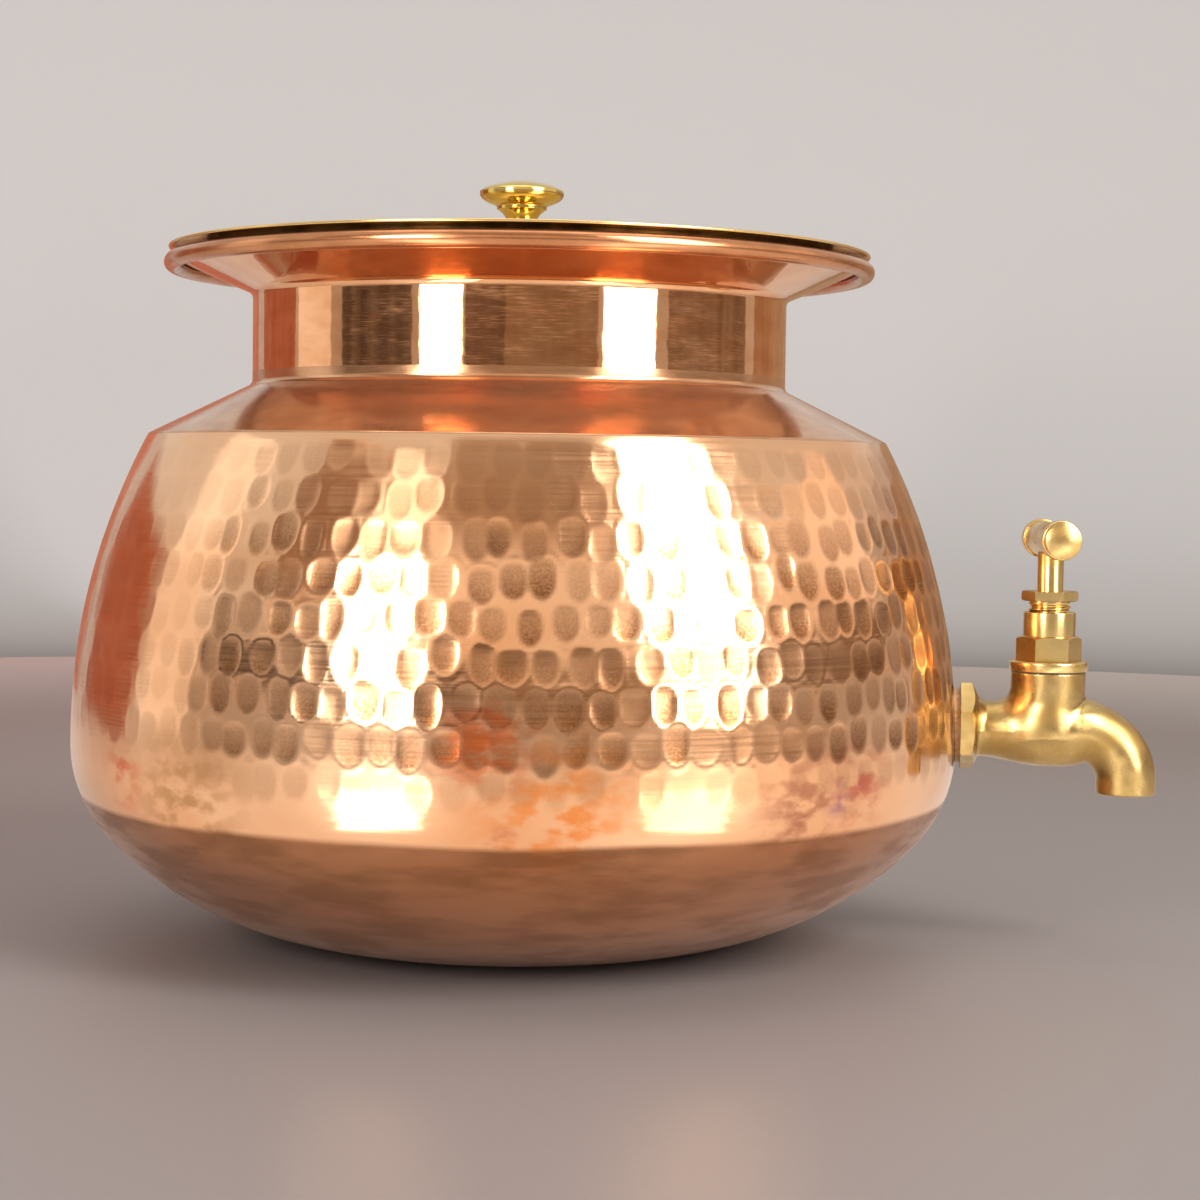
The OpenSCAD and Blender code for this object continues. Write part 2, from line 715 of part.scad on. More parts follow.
pot_base();
pot_wall();
shoulder_ring();
neck_flare();
rim_wire();
lid_plate();
lid_collar();
lid_knob();
knob_washer();
knob_screw();
tap_body();
outer_washer();
inner_washer();
back_nut();
bonnet_gasket();
bonnet();
gland_packing();
gland_nut();
spindle();
tee_handle();
jumper_valve();
seat_washer();
washer_nut();
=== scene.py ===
"""Copper water dispenser: a hammered copper pot with a wired rim, a brass lid and a screw-down brass tap."""
import math

import bmesh
import bpy
import numpy as np
from mathutils import Matrix, Vector


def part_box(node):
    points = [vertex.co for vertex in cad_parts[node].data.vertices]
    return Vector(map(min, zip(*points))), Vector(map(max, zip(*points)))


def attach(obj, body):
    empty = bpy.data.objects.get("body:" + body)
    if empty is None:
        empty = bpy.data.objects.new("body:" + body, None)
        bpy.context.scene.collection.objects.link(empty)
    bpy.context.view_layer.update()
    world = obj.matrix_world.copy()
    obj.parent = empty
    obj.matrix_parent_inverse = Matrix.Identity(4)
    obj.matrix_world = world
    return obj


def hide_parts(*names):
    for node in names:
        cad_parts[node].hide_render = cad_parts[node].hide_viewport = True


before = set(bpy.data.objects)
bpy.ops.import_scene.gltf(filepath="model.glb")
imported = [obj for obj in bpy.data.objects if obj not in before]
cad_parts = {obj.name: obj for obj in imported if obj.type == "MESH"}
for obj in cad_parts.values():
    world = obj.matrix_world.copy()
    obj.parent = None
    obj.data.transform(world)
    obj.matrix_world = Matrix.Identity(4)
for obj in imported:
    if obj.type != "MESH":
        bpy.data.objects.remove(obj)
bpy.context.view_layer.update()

MM = 0.001


def box(node):
    """Lowest and highest corner of a CAD node, in mm."""
    return np.array([list(corner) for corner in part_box(node)]) / MM


# Sizes in mm. The boxes of the CAD nodes give some, and the pot's radii repeat the part's source. The
# roundings at shoulder, neck foot and flare are smaller than there: the photograph shows crisper edges.
WALL, NECK = box("pot_wall"), box("neck_flare")
BELLY_R = WALL[1][0]
BELLY_Z = 66.0
KNUCKLE_R = 45.0
WALL_ARC_R = 221.0
BASE_FLAT_R = 58.0
SHEET_T = 1.2
WALL_TOP_Z = WALL[1][2]
SHOULDER_Z = 168.5
SHOULDER_R = 2.0
NECK_R = 90.5
NECK_FOOT_Z = 185.5
NECK_FOOT_FILLET = 2.5
NECK_SEAM_Z = NECK[0][2]
FLARE_Z = 216.0
FLARE_ANGLE = 23.0
FLARE_FILLET = 3.0
RIM_R = NECK[1][0]
WIRE_R = 1.7
ROLL_GAP = 14.0

LID, KNOB = box("lid_plate"), box("lid_knob")
TAP, BONNET, GLAND, TEE = box("tap_body"), box("bonnet"), box("gland_nut"), box("tee_handle")
TAP_X = (BONNET[0][0] + BONNET[1][0]) / 2
TAP_Z = (box("back_nut")[0][2] + box("back_nut")[1][2]) / 2


# Shapes

def polar(angle, r=1.0):
    return np.array([math.cos(math.radians(angle)), math.sin(math.radians(angle))]) * r


def arc(centre, r, start, end, step=1.0):
    """Points of a plane arc, about step mm apart."""
    count = max(2, math.ceil(abs(math.radians(end - start)) * abs(r) / step) + 1)
    return [np.asarray(centre) + polar(a, r) for a in np.linspace(start, end, count)]


def ease(x, low, high):
    t = np.clip((x - low) / (high - low), 0, 1)
    return t * t * (3 - 2 * t)


def heading(v):
    return math.degrees(math.atan2(v[1], v[0]))


def line(a, b, step):
    """Points from a to b without b."""
    a, b = np.asarray(a, float), np.asarray(b, float)
    count = max(1, round(np.linalg.norm(b - a) / step))
    return [a + (b - a) * i / count for i in range(count)]


def softened(corners, step=0.12):
    """Closed or open outline whose corners (r, z, rounding) are rounded off."""
    points = []
    last = len(corners) - 1
    for i, (r, z, rounding) in enumerate(corners):
        here = np.array([r, z])
        if rounding == 0 or i in (0, last):
            points.append(here)
            continue
        before, after = np.array(corners[i - 1][:2]), np.array(corners[i + 1][:2])
        u, v = before - here, after - here
        reach = min(np.linalg.norm(u), np.linalg.norm(v)) * 0.49
        u, v = u / np.linalg.norm(u), v / np.linalg.norm(v)
        half = math.acos(np.clip(u @ v, -1, 1)) / 2
        run = min(rounding / math.tan(half), reach)
        radius = run * math.tan(half)
        centre = here + (u + v) / np.linalg.norm(u + v) * radius / math.sin(half)
        start, end = heading(here + u * run - centre), heading(here + v * run - centre)
        end = start + (end - start + 180) % 360 - 180
        count = max(3, math.ceil(abs(math.radians(end - start)) * radius / step) + 1)
        points += [centre + polar(a, radius) for a in np.linspace(start, end, count)]
    return points


def ring(r, z, columns):
    """One ring of points; r and z may be numbers or one value for each column."""
    a = np.arange(columns) * 2 * math.pi / columns
    return np.stack([np.cos(a) * r, np.sin(a) * r, np.broadcast_to(z, (columns,)).astype(float)], axis=1)


def ring_skin(rings, closed=False):
    """Points and faces of a skin over rings; a ring may have some times as many points as its neighbour."""
    starts = np.cumsum([0] + [len(r) for r in rings])
    pairs = list(zip(range(len(rings)), range(1, len(rings)))) + ([(len(rings) - 1, 0)] if closed else [])
    faces = []
    for low, high in pairs:
        few = min(len(rings[low]), len(rings[high]))
        j = np.arange(few)
        edges = []
        for k in (low, high):
            share = len(rings[k]) // few
            steps = (j[:, None] * share + np.arange(share + 1)) % len(rings[k])
            edges.append(starts[k] + steps)
        faces += np.concatenate([edges[0], edges[1][:, ::-1]], axis=1).tolist()
    return np.concatenate(rings), faces


def turned(outline, columns, closed=True):
    """Skin of a plane outline of (r, z) turned about the Z axis."""
    return ring_skin([ring(p[0], p[1], columns) for p in outline], closed)


def piece(name, skin, material, body, nodes=(), sharp=35.0, place=None, marks=None):
    """Object from points in mm and faces, riding on a body and standing for CAD nodes."""
    points, faces = skin
    points = np.asarray(points, float)
    if place is not None:
        points = points @ np.array(place)[:3, :3].T + np.array(place)[:3, 3]
    mesh = bpy.data.meshes.new(name)
    mesh.from_pydata((points * MM).tolist(), [], faces)
    if marks is not None:
        mesh.attributes.new("blow", "FLOAT", "POINT").data.foreach_set("value", np.asarray(marks, np.float32))
    bm_clean(mesh)
    mesh.shade_smooth()
    mesh.set_sharp_from_angle(angle=math.radians(sharp))
    obj = bpy.data.objects.new(name, mesh)
    bpy.context.scene.collection.objects.link(obj)
    mesh.materials.append(material)
    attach(obj, body)
    if nodes:
        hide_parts(*nodes)
    return obj


def pierced(obj, skin, place):
    """Cuts the room of a closed skin out of a piece."""
    points, faces = skin
    mesh = bpy.data.meshes.new("drill")
    mesh.from_pydata([place @ Vector(p) * MM for p in points], [], faces)
    bm_clean(mesh)
    drill = bpy.data.objects.new("drill", mesh)
    bpy.context.scene.collection.objects.link(drill)
    cut = obj.modifiers.new("hole", "BOOLEAN")
    cut.object, cut.operation, cut.solver = drill, "DIFFERENCE", "MANIFOLD"
    shape = bpy.data.meshes.new_from_object(obj.evaluated_get(bpy.context.evaluated_depsgraph_get()))
    obj.modifiers.clear()
    obj.data = shape
    bpy.data.objects.remove(drill)


def bm_clean(mesh):
    """Welds doubled points, such as those on an axis, and turns the faces outwards."""
    bm = bmesh.new()
    bm.from_mesh(mesh)
    bmesh.ops.remove_doubles(bm, verts=bm.verts, dist=2e-7)
    bmesh.ops.recalc_face_normals(bm, faces=bm.faces)
    bm.to_mesh(mesh)
    bm.free()


# Materials

def linear(hex_colour):
    """Linear colour of an sRGB hex value."""
    parts = [int(hex_colour[i:i + 2], 16) / 255 for i in (1, 3, 5)]
    return [c / 12.92 if c <= 0.04045 else ((c + 0.055) / 1.055) ** 2.4 for c in parts] + [1.0]


def add(tree, kind, inputs=None, out=0, **settings):
    """Adds a node with its settings, values and links, and gives one of its outputs."""
    node = tree.nodes.new("ShaderNode" + kind)
    for key, value in settings.items():
        setattr(node, key, value)
    for socket, value in (inputs or {}).items():
        if isinstance(value, bpy.types.NodeSocket):
            tree.links.new(value, node.inputs[socket])
        else:
            node.inputs[socket].default_value = value
    return node.outputs[out]


# Settings that many nodes share: a soft step from one range to another, and a blend of two colours
SOFT_STEP = {"interpolation_type": "SMOOTHSTEP"}
OF_COLOURS = {"data_type": "RGBA", "out": 2}


def finish(name, colour, metallic, roughness):
    """Material with its node tree and shader."""
    material = bpy.data.materials.new(name)
    material.use_nodes = True
    shader = material.node_tree.nodes["Principled BSDF"]
    shader.inputs["Base Color"].default_value = linear(colour)
    shader.inputs["Metallic"].default_value = metallic
    shader.inputs["Roughness"].default_value = roughness
    return material, material.node_tree, shader


def pattern(tree, size, detail=3.0, offset=0.0):
    """Noise whose cloudlets measure size mm along X, Y and Z."""
    spot = add(tree, "TexCoord", out="Object")
    spread = add(tree, "VectorMath", {0: spot, 1: [1 / (v * MM) for v in size], 2: [offset] * 3},
                 operation="MULTIPLY_ADD")
    return add(tree, "TexNoise", {"Vector": spread, "Scale": 1.0, "Detail": detail}, out="Fac")


# Heat colours on the lower wall, and as the last two entries painted shade where the smooth zone mirrors the
# shaded floor beside the pot: centre and reach in mm, and colour
HEAT_COLOURS_AND_SHADE = (((120, -90, 64), 20, "#c0604e"), ((114, -97, 60), 9, "#a07088"),
                ((36, -145, 58), 36, "#ec8a3a"), ((14, -148, 80), 24, "#d8672e"),
                ((20, -146, 51), 8, "#b8705c"), ((-105, -107, 62), 16, "#e0693a"),
                ((-80, -126, 56), 34, "#bf8c58"), ((104, -106, 58), 30, "#ad6c54"))


def hammered_copper():
    """Polished copper sheet: bright ridges, brown blows, rubbing lines, heat colours and a satin base, with
    painted shade in the blows' lower halves, at the smooth zone's ends and on the base.
    """
    material, tree, shader = finish("hammered copper", "#f2b488", 1.0, 0.2)
    blow = add(tree, "Attribute", out="Fac", attribute_name="blow")
    spot = add(tree, "TexCoord", out="Object")
    height = add(tree, "SeparateXYZ", {0: spot}, out="Z")
    clouds = pattern(tree, (60, 60, 35))
    # Rubbing lines are finer than this; they are drawn as wide as they need to show
    lines = pattern(tree, (45, 45, 0.5), 4)
    specks = pattern(tree, (0.8, 0.8, 0.8), 4)
    # The satin base ends in a slightly ragged edge about 50 mm up
    ragged = add(tree, "Math", {0: clouds, 1: 0.003, 2: height}, operation="MULTIPLY_ADD")
    base = add(tree, "MapRange", {0: ragged, 1: 0.050, 2: 0.0525, 3: 1.0, 4: 0.0}, **SOFT_STEP)
    cloudy = add(tree, "MapRange", {0: clouds, 1: 0.35, 2: 0.7}, **SOFT_STEP)
    colour = add(tree, "Mix", {0: cloudy, 6: linear("#f9c69b"), 7: linear("#eeb384")}, **OF_COLOURS)
    speckled = add(tree, "MapRange", {0: specks, 1: 0.3, 2: 0.65, 3: 0.72, 4: 1.0}, **SOFT_STEP)
    # The blows' brown, heavier in their lower halves as painted shade
    matt = add(tree, "Math", {0: blow, 1: speckled}, operation="MULTIPLY")
    brown = add(tree, "Math", {0: matt, 1: 0.92}, operation="MULTIPLY")
    colour = add(tree, "Mix", {0: brown, 6: colour, 7: linear("#8e5f3a")}, **OF_COLOURS)
    # Heat colours, and painted shade at the left and right of the smooth zone
    for centre, reach, tint in HEAT_COLOURS_AND_SHADE:
        gap = add(tree, "VectorMath", {0: spot, 1: [v * MM for v in centre]}, out="Value",
                  operation="DISTANCE")
        near = add(tree, "MapRange", {0: gap, 1: 0.0, 2: reach * MM, 3: 1.0, 4: 0.0}, **SOFT_STEP)
        patchy = add(tree, "MapRange", {0: pattern(tree, (9, 9, 5), 5, reach), 1: 0.4, 2: 0.62, 4: 0.85},
                     **SOFT_STEP)
        heat_and_shade = add(tree, "Math", {0: near, 1: patchy}, operation="MULTIPLY")
        colour = add(tree, "Mix", {0: heat_and_shade, 6: colour, 7: linear(tint)}, **OF_COLOURS)
    # The satin base is painted dark brown in uneven clouds: painted shade of the shaded floor it mirrors
    stain = add(tree, "MapRange", {0: pattern(tree, (30, 30, 7), 6, 5.0), 1: 0.38, 2: 0.66}, **SOFT_STEP)
    base_shade_and_stain = add(tree, "Mix", {0: stain, 6: linear("#966242"), 7: linear("#75482b")}, **OF_COLOURS)
    satin = add(tree, "Math", {0: base, 1: 0.9}, operation="MULTIPLY")
    colour = add(tree, "Mix", {0: satin, 6: colour, 7: base_shade_and_stain}, **OF_COLOURS)
    tree.links.new(colour, shader.inputs["Base Color"])
    rubbed = add(tree, "MapRange", {0: lines, 1: 0.3, 2: 0.7, 3: 0.1, 4: 0.16}, **SOFT_STEP)
    polished = add(tree, "Math", {0: matt, 1: 0.13, 2: rubbed}, operation="MULTIPLY_ADD")
    satin_rough = add(tree, "MapRange", {0: stain, 1: 0.0, 2: 1.0, 3: 0.3, 4: 0.42}, **SOFT_STEP)
    rough = add(tree, "Mix", {0: base, 2: polished, 3: satin_rough})
    tree.links.new(rough, shader.inputs["Roughness"])
    scored = add(tree, "Math", {0: lines, 1: 0.4}, operation="MULTIPLY")
    grain = add(tree, "Math", {0: matt, 1: specks, 2: scored}, operation="MULTIPLY_ADD")
    bump = add(tree, "Bump", {"Height": grain, "Strength": 1.0, "Distance": 0.009 * MM})
    tree.links.new(bump, shader.inputs["Normal"])
    return material


def buffed_copper(name, colour, dull, gloss, haze, sway):
    """Buffed copper: a mirror with faint rubbing marks and low waves, under a haze of touch and tarnish."""
    material, tree, shader = finish(name, colour, 1.0 - haze, gloss)
    clouds = pattern(tree, (14, 14, 6), 5)
    marks = pattern(tree, (7, 7, 0.7), 4, 3.0)
    cloudy = add(tree, "MapRange", {0: clouds, 1: 0.3, 2: 0.75}, **SOFT_STEP)
    skin = add(tree, "Mix", {0: cloudy, 6: linear(colour), 7: linear(dull)}, **OF_COLOURS)
    tree.links.new(skin, shader.inputs["Base Color"])
    touched = add(tree, "MapRange", {0: clouds, 1: 0.3, 2: 0.8, 3: gloss * 0.8, 4: gloss * 1.3}, **SOFT_STEP)
    rubbed = add(tree, "MapRange", {0: marks, 1: 0.45, 2: 0.75, 3: 0.0, 4: gloss * 0.4}, **SOFT_STEP)
    rough = add(tree, "Math", {0: touched, 1: rubbed}, operation="ADD")
    tree.links.new(rough, shader.inputs["Roughness"])
    # Spun sheet waves a little, so mirrored edges aren't straight
    waves = pattern(tree, (13, 13, 9), 2, 7.0)
    scored = add(tree, "Math", {0: marks, 1: 0.008}, operation="MULTIPLY")
    height = add(tree, "Math", {0: waves, 1: sway, 2: scored}, operation="MULTIPLY_ADD")
    bump = add(tree, "Bump", {"Height": height, "Strength": 1.0, "Distance": MM})
    tree.links.new(bump, shader.inputs["Normal"])
    return material


def brass(name, colour, dull, roughness, grain_size, grain_depth):
    """Brass with duller clouds and a fine grain: long for tool marks, round for a cast skin."""
    material, tree, shader = finish(name, colour, 1.0, roughness)
    clouds = pattern(tree, (12, 12, 12), 4)
    # Tool marks and casting grain are finer than this; they are drawn as coarse as they need to show
    grain = pattern(tree, grain_size, 3)
    cloudy = add(tree, "MapRange", {0: clouds, 1: 0.4, 2: 0.7}, **SOFT_STEP)
    skin = add(tree, "Mix", {0: cloudy, 6: linear(colour), 7: linear(dull)}, **OF_COLOURS)
    tree.links.new(skin, shader.inputs["Base Color"])
    rough = add(tree, "MapRange", {0: clouds, 1: 0.3, 2: 0.75, 3: roughness * 0.8, 4: roughness * 1.35},
                **SOFT_STEP)
    tree.links.new(rough, shader.inputs["Roughness"])
    bump = add(tree, "Bump", {"Height": grain, "Strength": 1.0, "Distance": grain_depth * MM})
    tree.links.new(bump, shader.inputs["Normal"])
    return material


def soft_stuff(name, colour, dark, roughness):
    """Fibre or rubber: an even matt colour with fine mottling."""
    material, tree, shader = finish(name, colour, 0.0, roughness)
    mottle = add(tree, "MapRange", {0: pattern(tree, (1.2, 1.2, 1.2), 4), 1: 0.35, 2: 0.7}, **SOFT_STEP)
    skin = add(tree, "Mix", {0: mottle, 6: linear(colour), 7: linear(dark)}, **OF_COLOURS)
    tree.links.new(skin, shader.inputs["Base Color"])
    return material


# Copper sheet, hammered and buffed: bright ridges round brown dimples, above a satin base; parts are darkened
# with painted shade
copper_wall = hammered_copper()
# Copper sheet, spun and buffed to a mirror: sharp reflections that waver a little
copper_neck = buffed_copper("mirror copper", "#efb688", "#dfa070", 0.035, 0.03, 0.07)
# Copper sheet, spun and brushed: a soft sheen with blurred reflections
copper_shoulder = buffed_copper("satin copper", "#cc9c74", "#b98660", 0.15, 0.13, 0.04)
# Copper edge, rolled and dulled by hands: broad highlights; its darker, redder colour is painted shade from
# the dark lid above it
copper_rim = buffed_copper("handled copper with painted shade", "#c88a60", "#b0744c", 0.18, 0.1, 0.02)
# Brass sheet, spun: pale gold with faint rings of sheen
brass_sheet = brass("spun sheet brass", "#ebca88", "#e1be7a", 0.2, (30, 30, 0.6), 0.01)
# Brass, turned and polished: small bright highlights
brass_knob = brass("polished brass", "#dcc070", "#ccab58", 0.1, (6, 6, 0.4), 0.003)
# Brass, turned: gold with the tool's fine lines
brass_turned = brass("turned brass", "#d8ba7c", "#c4a15f", 0.24, (6, 6, 0.4), 0.006)
# Brass, cast and filed: a greyer gold with soft uneven highlights
brass_cast = brass("fettled cast brass", "#bc9e65", "#aa8950", 0.29, (1.0, 1.0, 1.0), 0.010)
# Brass, spun and painted dark brown, nearly matt: painted shade for the collar seen through the gap under the
# lid
brass_in_painted_shade = brass("brass with painted shade", "#6a4f2c", "#4a351c", 0.4, (30, 30, 0.6), 0.01)
# Fibre, pressed and cut: tan and lightly mottled
fibre = soft_stuff("pressed fibre", "#b08a58", "#94703f", 0.4)
# Rubber, moulded: a dark matt brown
rubber = soft_stuff("dark rubber", "#57493a", "#3c3128", 0.55)


# Pot

def pot_profile():
    """Outside points and normals of base and wall, from the axis to the wall's upper seam."""
    base_run = BELLY_R - KNUCKLE_R - BASE_FLAT_R
    base_arc_r = (base_run ** 2 + BELLY_Z ** 2 - KNUCKLE_R ** 2) / (2 * (BELLY_Z - KNUCKLE_R))
    base_c = np.array([BASE_FLAT_R, base_arc_r])
    knuckle_c = np.array([BELLY_R - KNUCKLE_R, BELLY_Z])
    wall_c = np.array([BELLY_R - WALL_ARC_R, BELLY_Z])
    tangent = heading(knuckle_c - base_c)
    top = math.degrees(math.asin((WALL_TOP_Z - BELLY_Z) / WALL_ARC_R))
    coarse, fine = 4.0, 1.0
    flat = line((0, 0), (BASE_FLAT_R, 0), coarse)
    points, normals = list(flat), [np.array([0.0, -1.0])] * len(flat)
    for centre, r, start, end, step in ((base_c, base_arc_r, -90, tangent, coarse),
                                        (knuckle_c, KNUCKLE_R, tangent, 0, 1.6),
                                        (wall_c, WALL_ARC_R, 0, top, fine)):
        for p in arc(centre, r, start, end, step)[(0 if centre is base_c else 1):]:
            points.append(p)
            normals.append((p - centre) / r)
    return np.array(points), np.array(normals)


HAMMERED_LOW_Z = 56.0
HAMMERED_COLUMNS = 1024
PLAIN_COLUMNS = 256
ROW_TOP_Z = 161.0
ROW_PITCH = 11.8
ROW_COUNT = 9
BLOW_PITCH = 9.6
BLOW_WIDTH = 8.9
BLOW_HEIGHT = 12.0
BLOW_DEPTH = 0.21
# Height of the lip round a blow, as a share of its depth
BLOW_LIP = 0.4
# The two top rows and the lowest one are polished down
WORN_ROWS = {0: 0.3, 1: 0.5, ROW_COUNT - 1: 0.35}
# One side was buffed down: its middle, its half width up to where the blows are whole, and what went
BUFFED_SIDE = 205.0
BUFFED_HALF = 41.0
BUFFED_OFF = 0.8


def hammer_blows():
    """Rows of single hammer blows: angle, height, half sizes, depth and tilt of each, always the same."""
    chance = np.random.default_rng(7)
    blows = []
    for row in range(ROW_COUNT):
        height = ROW_TOP_Z - row * ROW_PITCH
        wall_r = BELLY_R - WALL_ARC_R + math.sqrt(WALL_ARC_R ** 2 - (height - BELLY_Z) ** 2)
        count = round(2 * math.pi * wall_r / BLOW_PITCH)
        worn = WORN_ROWS.get(row, 1)
        start = chance.uniform(0, 1)
        for i in range(count):
            angle = (i + start + chance.normal(0, 0.1)) * 2 * math.pi / count
            blows.append((angle, height + chance.normal(0, 0.9),
                          BLOW_WIDTH / 2 * chance.uniform(0.85, 1.1),
                          BLOW_HEIGHT / 2 * chance.uniform(0.85, 1.1),
                          BLOW_DEPTH * worn * chance.uniform(0.6, 1.25),
                          chance.uniform(-0.5, 0.5), chance.uniform(-0.5, 0.5)))
    return blows


def hammered(angles, heights, radii):
    """Depth of the hammer blows and the share of brown at each point, with painted shade in each blow's lower
    half, over a grid of angles and heights.
    """
    depth, share, lip = np.zeros((3, len(heights), len(angles)))
    for angle, height, a, b, blow, lean, nod in hammer_blows():
        rows = np.flatnonzero(abs(heights - height) < 1.5 * b)
        turn = (angles - angle + math.pi) % (2 * math.pi) - math.pi
        columns = np.flatnonzero(abs(turn) * radii[rows].max() < 1.5 * a)
        u = turn[columns][None, :] * radii[rows][:, None] / a
        v = np.broadcast_to((heights[rows] - height)[:, None] / b, u.shape)
        # Round below and squarer above, as the tilted hammer leaves it
        out = np.where(v < 0, np.hypot(u, v), (abs(u) ** 3 + abs(v) ** 3) ** (1 / 3))
        dish = np.clip(1 - out ** 2.5, 0, 1) ** 1.3 * (1 + lean * u + nod * v)
        at = np.ix_(rows, columns)
        # Where two blows meet, the deeper one stays
        depth[at] = np.minimum(depth[at], -blow * dish)
        # The lower half of a blow gets more brown and more matt: painted shade over the brown of the hollow
        brown = np.clip((1.02 - out) * 4, 0, 1) * (0.8 - 0.3 * v) * blow / BLOW_DEPTH
        share[at] = np.maximum(share[at], brown)
        lip[at] = np.maximum(lip[at], BLOW_LIP * blow * np.exp(-((out - 1.05) / 0.15) ** 2))
    return depth + lip * (1 - np.minimum(share, 1)), share


def hammered_pot():
    """Base and wall in one skin, with the hammer blows worked into the outside of the wall."""
    points, normals = pot_profile()
    fine = points[:, 1] >= HAMMERED_LOW_Z
    heights = points[fine, 1]
    angles = np.arange(HAMMERED_COLUMNS) * 2 * math.pi / HAMMERED_COLUMNS
    depth, share = hammered(angles, heights, points[fine, 0])
    # The sheet is never quite round: low waves a few cm long
    waves = 0.09 * np.sin(angles * 9 + 1.0)[None, :] * np.sin(heights / 17)[:, None] \
        + 0.07 * np.sin(angles * 23 + heights[:, None] / 11)
    # The relief dies out towards the smooth zone and the upper seam
    settle = ease(heights, HAMMERED_LOW_Z, HAMMERED_LOW_Z + 8) * ease(-heights, -WALL_TOP_Z, 3 - WALL_TOP_Z)
    # The blows of the buffed side keep less of their depth and brown
    aside = abs((np.degrees(angles) - BUFFED_SIDE + 180) % 360 - 180)
    left_over = 1 - BUFFED_OFF * (1 - ease(aside, BUFFED_HALF - 12, BUFFED_HALF))
    depth, share = depth * left_over, share * left_over
    depth = (depth + waves) * settle[:, None]
    inner = points - normals * SHEET_T
    inner[0] = (0, SHEET_T)
    rings = [ring(p[0], p[1], PLAIN_COLUMNS) for p in points[~fine]]
    rings += [ring(p[0] + n[0] * d, p[1] + n[1] * d, HAMMERED_COLUMNS)
              for p, n, d in zip(points[fine], normals[fine], depth)]
    before = sum(len(r) for r in rings) - share.size
    rings += [ring(p[0], p[1], PLAIN_COLUMNS) for p in inner[::-1]]
    marks = np.concatenate([np.zeros(before), (share * settle[:, None]).ravel(),
                            np.zeros(len(inner) * PLAIN_COLUMNS)])
    return ring_skin(rings), marks


# Neck, shoulder and rim

def neck_outlines():
    """Closed outlines of the shoulder and of the neck with its rolled rim."""
    wall_c = np.array([BELLY_R - WALL_ARC_R, BELLY_Z])
    corner_h = SHOULDER_Z - BELLY_Z
    corner_p = wall_c + np.array([math.sqrt(WALL_ARC_R ** 2 - corner_h ** 2), corner_h])
    neck_p = np.array([NECK_R, NECK_FOOT_Z])
    slope = (neck_p - corner_p) / np.linalg.norm(neck_p - corner_p)
    left = np.array([-slope[1], slope[0]])
    w = corner_p + SHOULDER_R * left - wall_c
    run = -w @ slope - math.sqrt((w @ slope) ** 2 - w @ w + (WALL_ARC_R - SHOULDER_R) ** 2)
    corner_c = wall_c + w + run * slope
    corner_a, corner_b = heading(corner_c - wall_c), heading(-left)
    seam = math.degrees(math.asin((WALL_TOP_Z - BELLY_Z) / WALL_ARC_R))
    turn = math.degrees(math.acos(slope[1]))
    foot_c = neck_p + np.array([NECK_FOOT_FILLET, NECK_FOOT_FILLET * math.tan(math.radians(turn / 2))])
    fine = 0.4
    shoulder = ([wall_c + polar(seam, WALL_ARC_R)]
                + arc(corner_c, SHOULDER_R, corner_a, corner_b, fine)
                + arc(foot_c, NECK_FOOT_FILLET, 180 + turn, 180, fine)
                + [np.array([NECK_R, NECK_SEAM_Z]), np.array([NECK_R - SHEET_T, NECK_SEAM_Z])]
                + arc(foot_c, NECK_FOOT_FILLET + SHEET_T, 180, 180 + turn, fine)
                + arc(corner_c, SHOULDER_R - SHEET_T, corner_b, corner_a, fine)
                + [wall_c + polar(seam, WALL_ARC_R - SHEET_T)])
    flare_u = polar(FLARE_ANGLE)
    flare_left = np.array([-flare_u[1], flare_u[0]])
    flare_p = np.array([NECK_R, FLARE_Z])
    flare_c = flare_p + FLARE_FILLET * np.array([1, -math.tan(math.radians((90 - FLARE_ANGLE) / 2))])
    roll_r = WIRE_R + SHEET_T
    roll_a = heading(flare_left)
    touch = RIM_R - roll_r + WIRE_R * math.cos(math.radians(roll_a))
    roll_c = flare_p + (touch - NECK_R) / flare_u[0] * flare_u - WIRE_R * flare_left
    roll_end = roll_a + math.degrees(math.acos(WIRE_R / roll_r)) + ROLL_GAP
    neck = ([np.array([NECK_R, NECK_SEAM_Z])]
            + arc(flare_c, FLARE_FILLET, 180, roll_a, fine)
            + arc(roll_c, WIRE_R, roll_a, roll_end - 360, fine)
            + arc(roll_c, roll_r, roll_end - 360, roll_a, fine)
            + arc(flare_c, FLARE_FILLET + SHEET_T, roll_a, 180, fine)
            + [np.array([NECK_R - SHEET_T, NECK_SEAM_Z])])
    return shoulder, neck


def refinish(obj, material, where):
    """Gives some faces of a piece another finish; where takes a face's radius and height in mm."""
    obj.data.materials.append(material)
    for face in obj.data.polygons:
        if where(math.hypot(face.center.x, face.center.y) / MM, face.center.z / MM):
            face.material_index = 1


# Lid and knob

LID_T = 1.0
LID_R = LID[1][0]
LID_CROWN = LID[1][2] - LID[0][2] - LID_T
LID_COLUMNS = 360


def lid_plate():
    """Thin crowned disc with a rounded edge."""
    crown_r = (LID_R ** 2 + LID_CROWN ** 2) / (2 * LID_CROWN)

    def top(r):
        return LID[1][2] - crown_r + np.sqrt(crown_r ** 2 - np.asarray(r) ** 2)

    edge_r = LID_R - LID_T / 2
    runs = np.linspace(0, edge_r, 40)
    upper = [np.array([r, top(r)]) for r in runs]
    edge = arc((edge_r, top(edge_r) - LID_T / 2), LID_T / 2, 90, -90, 0.1)[1:-1]
    lower = [np.array([r, top(r) - LID_T]) for r in runs[::-1]]
    return turned(upper + edge + lower, LID_COLUMNS, closed=False)


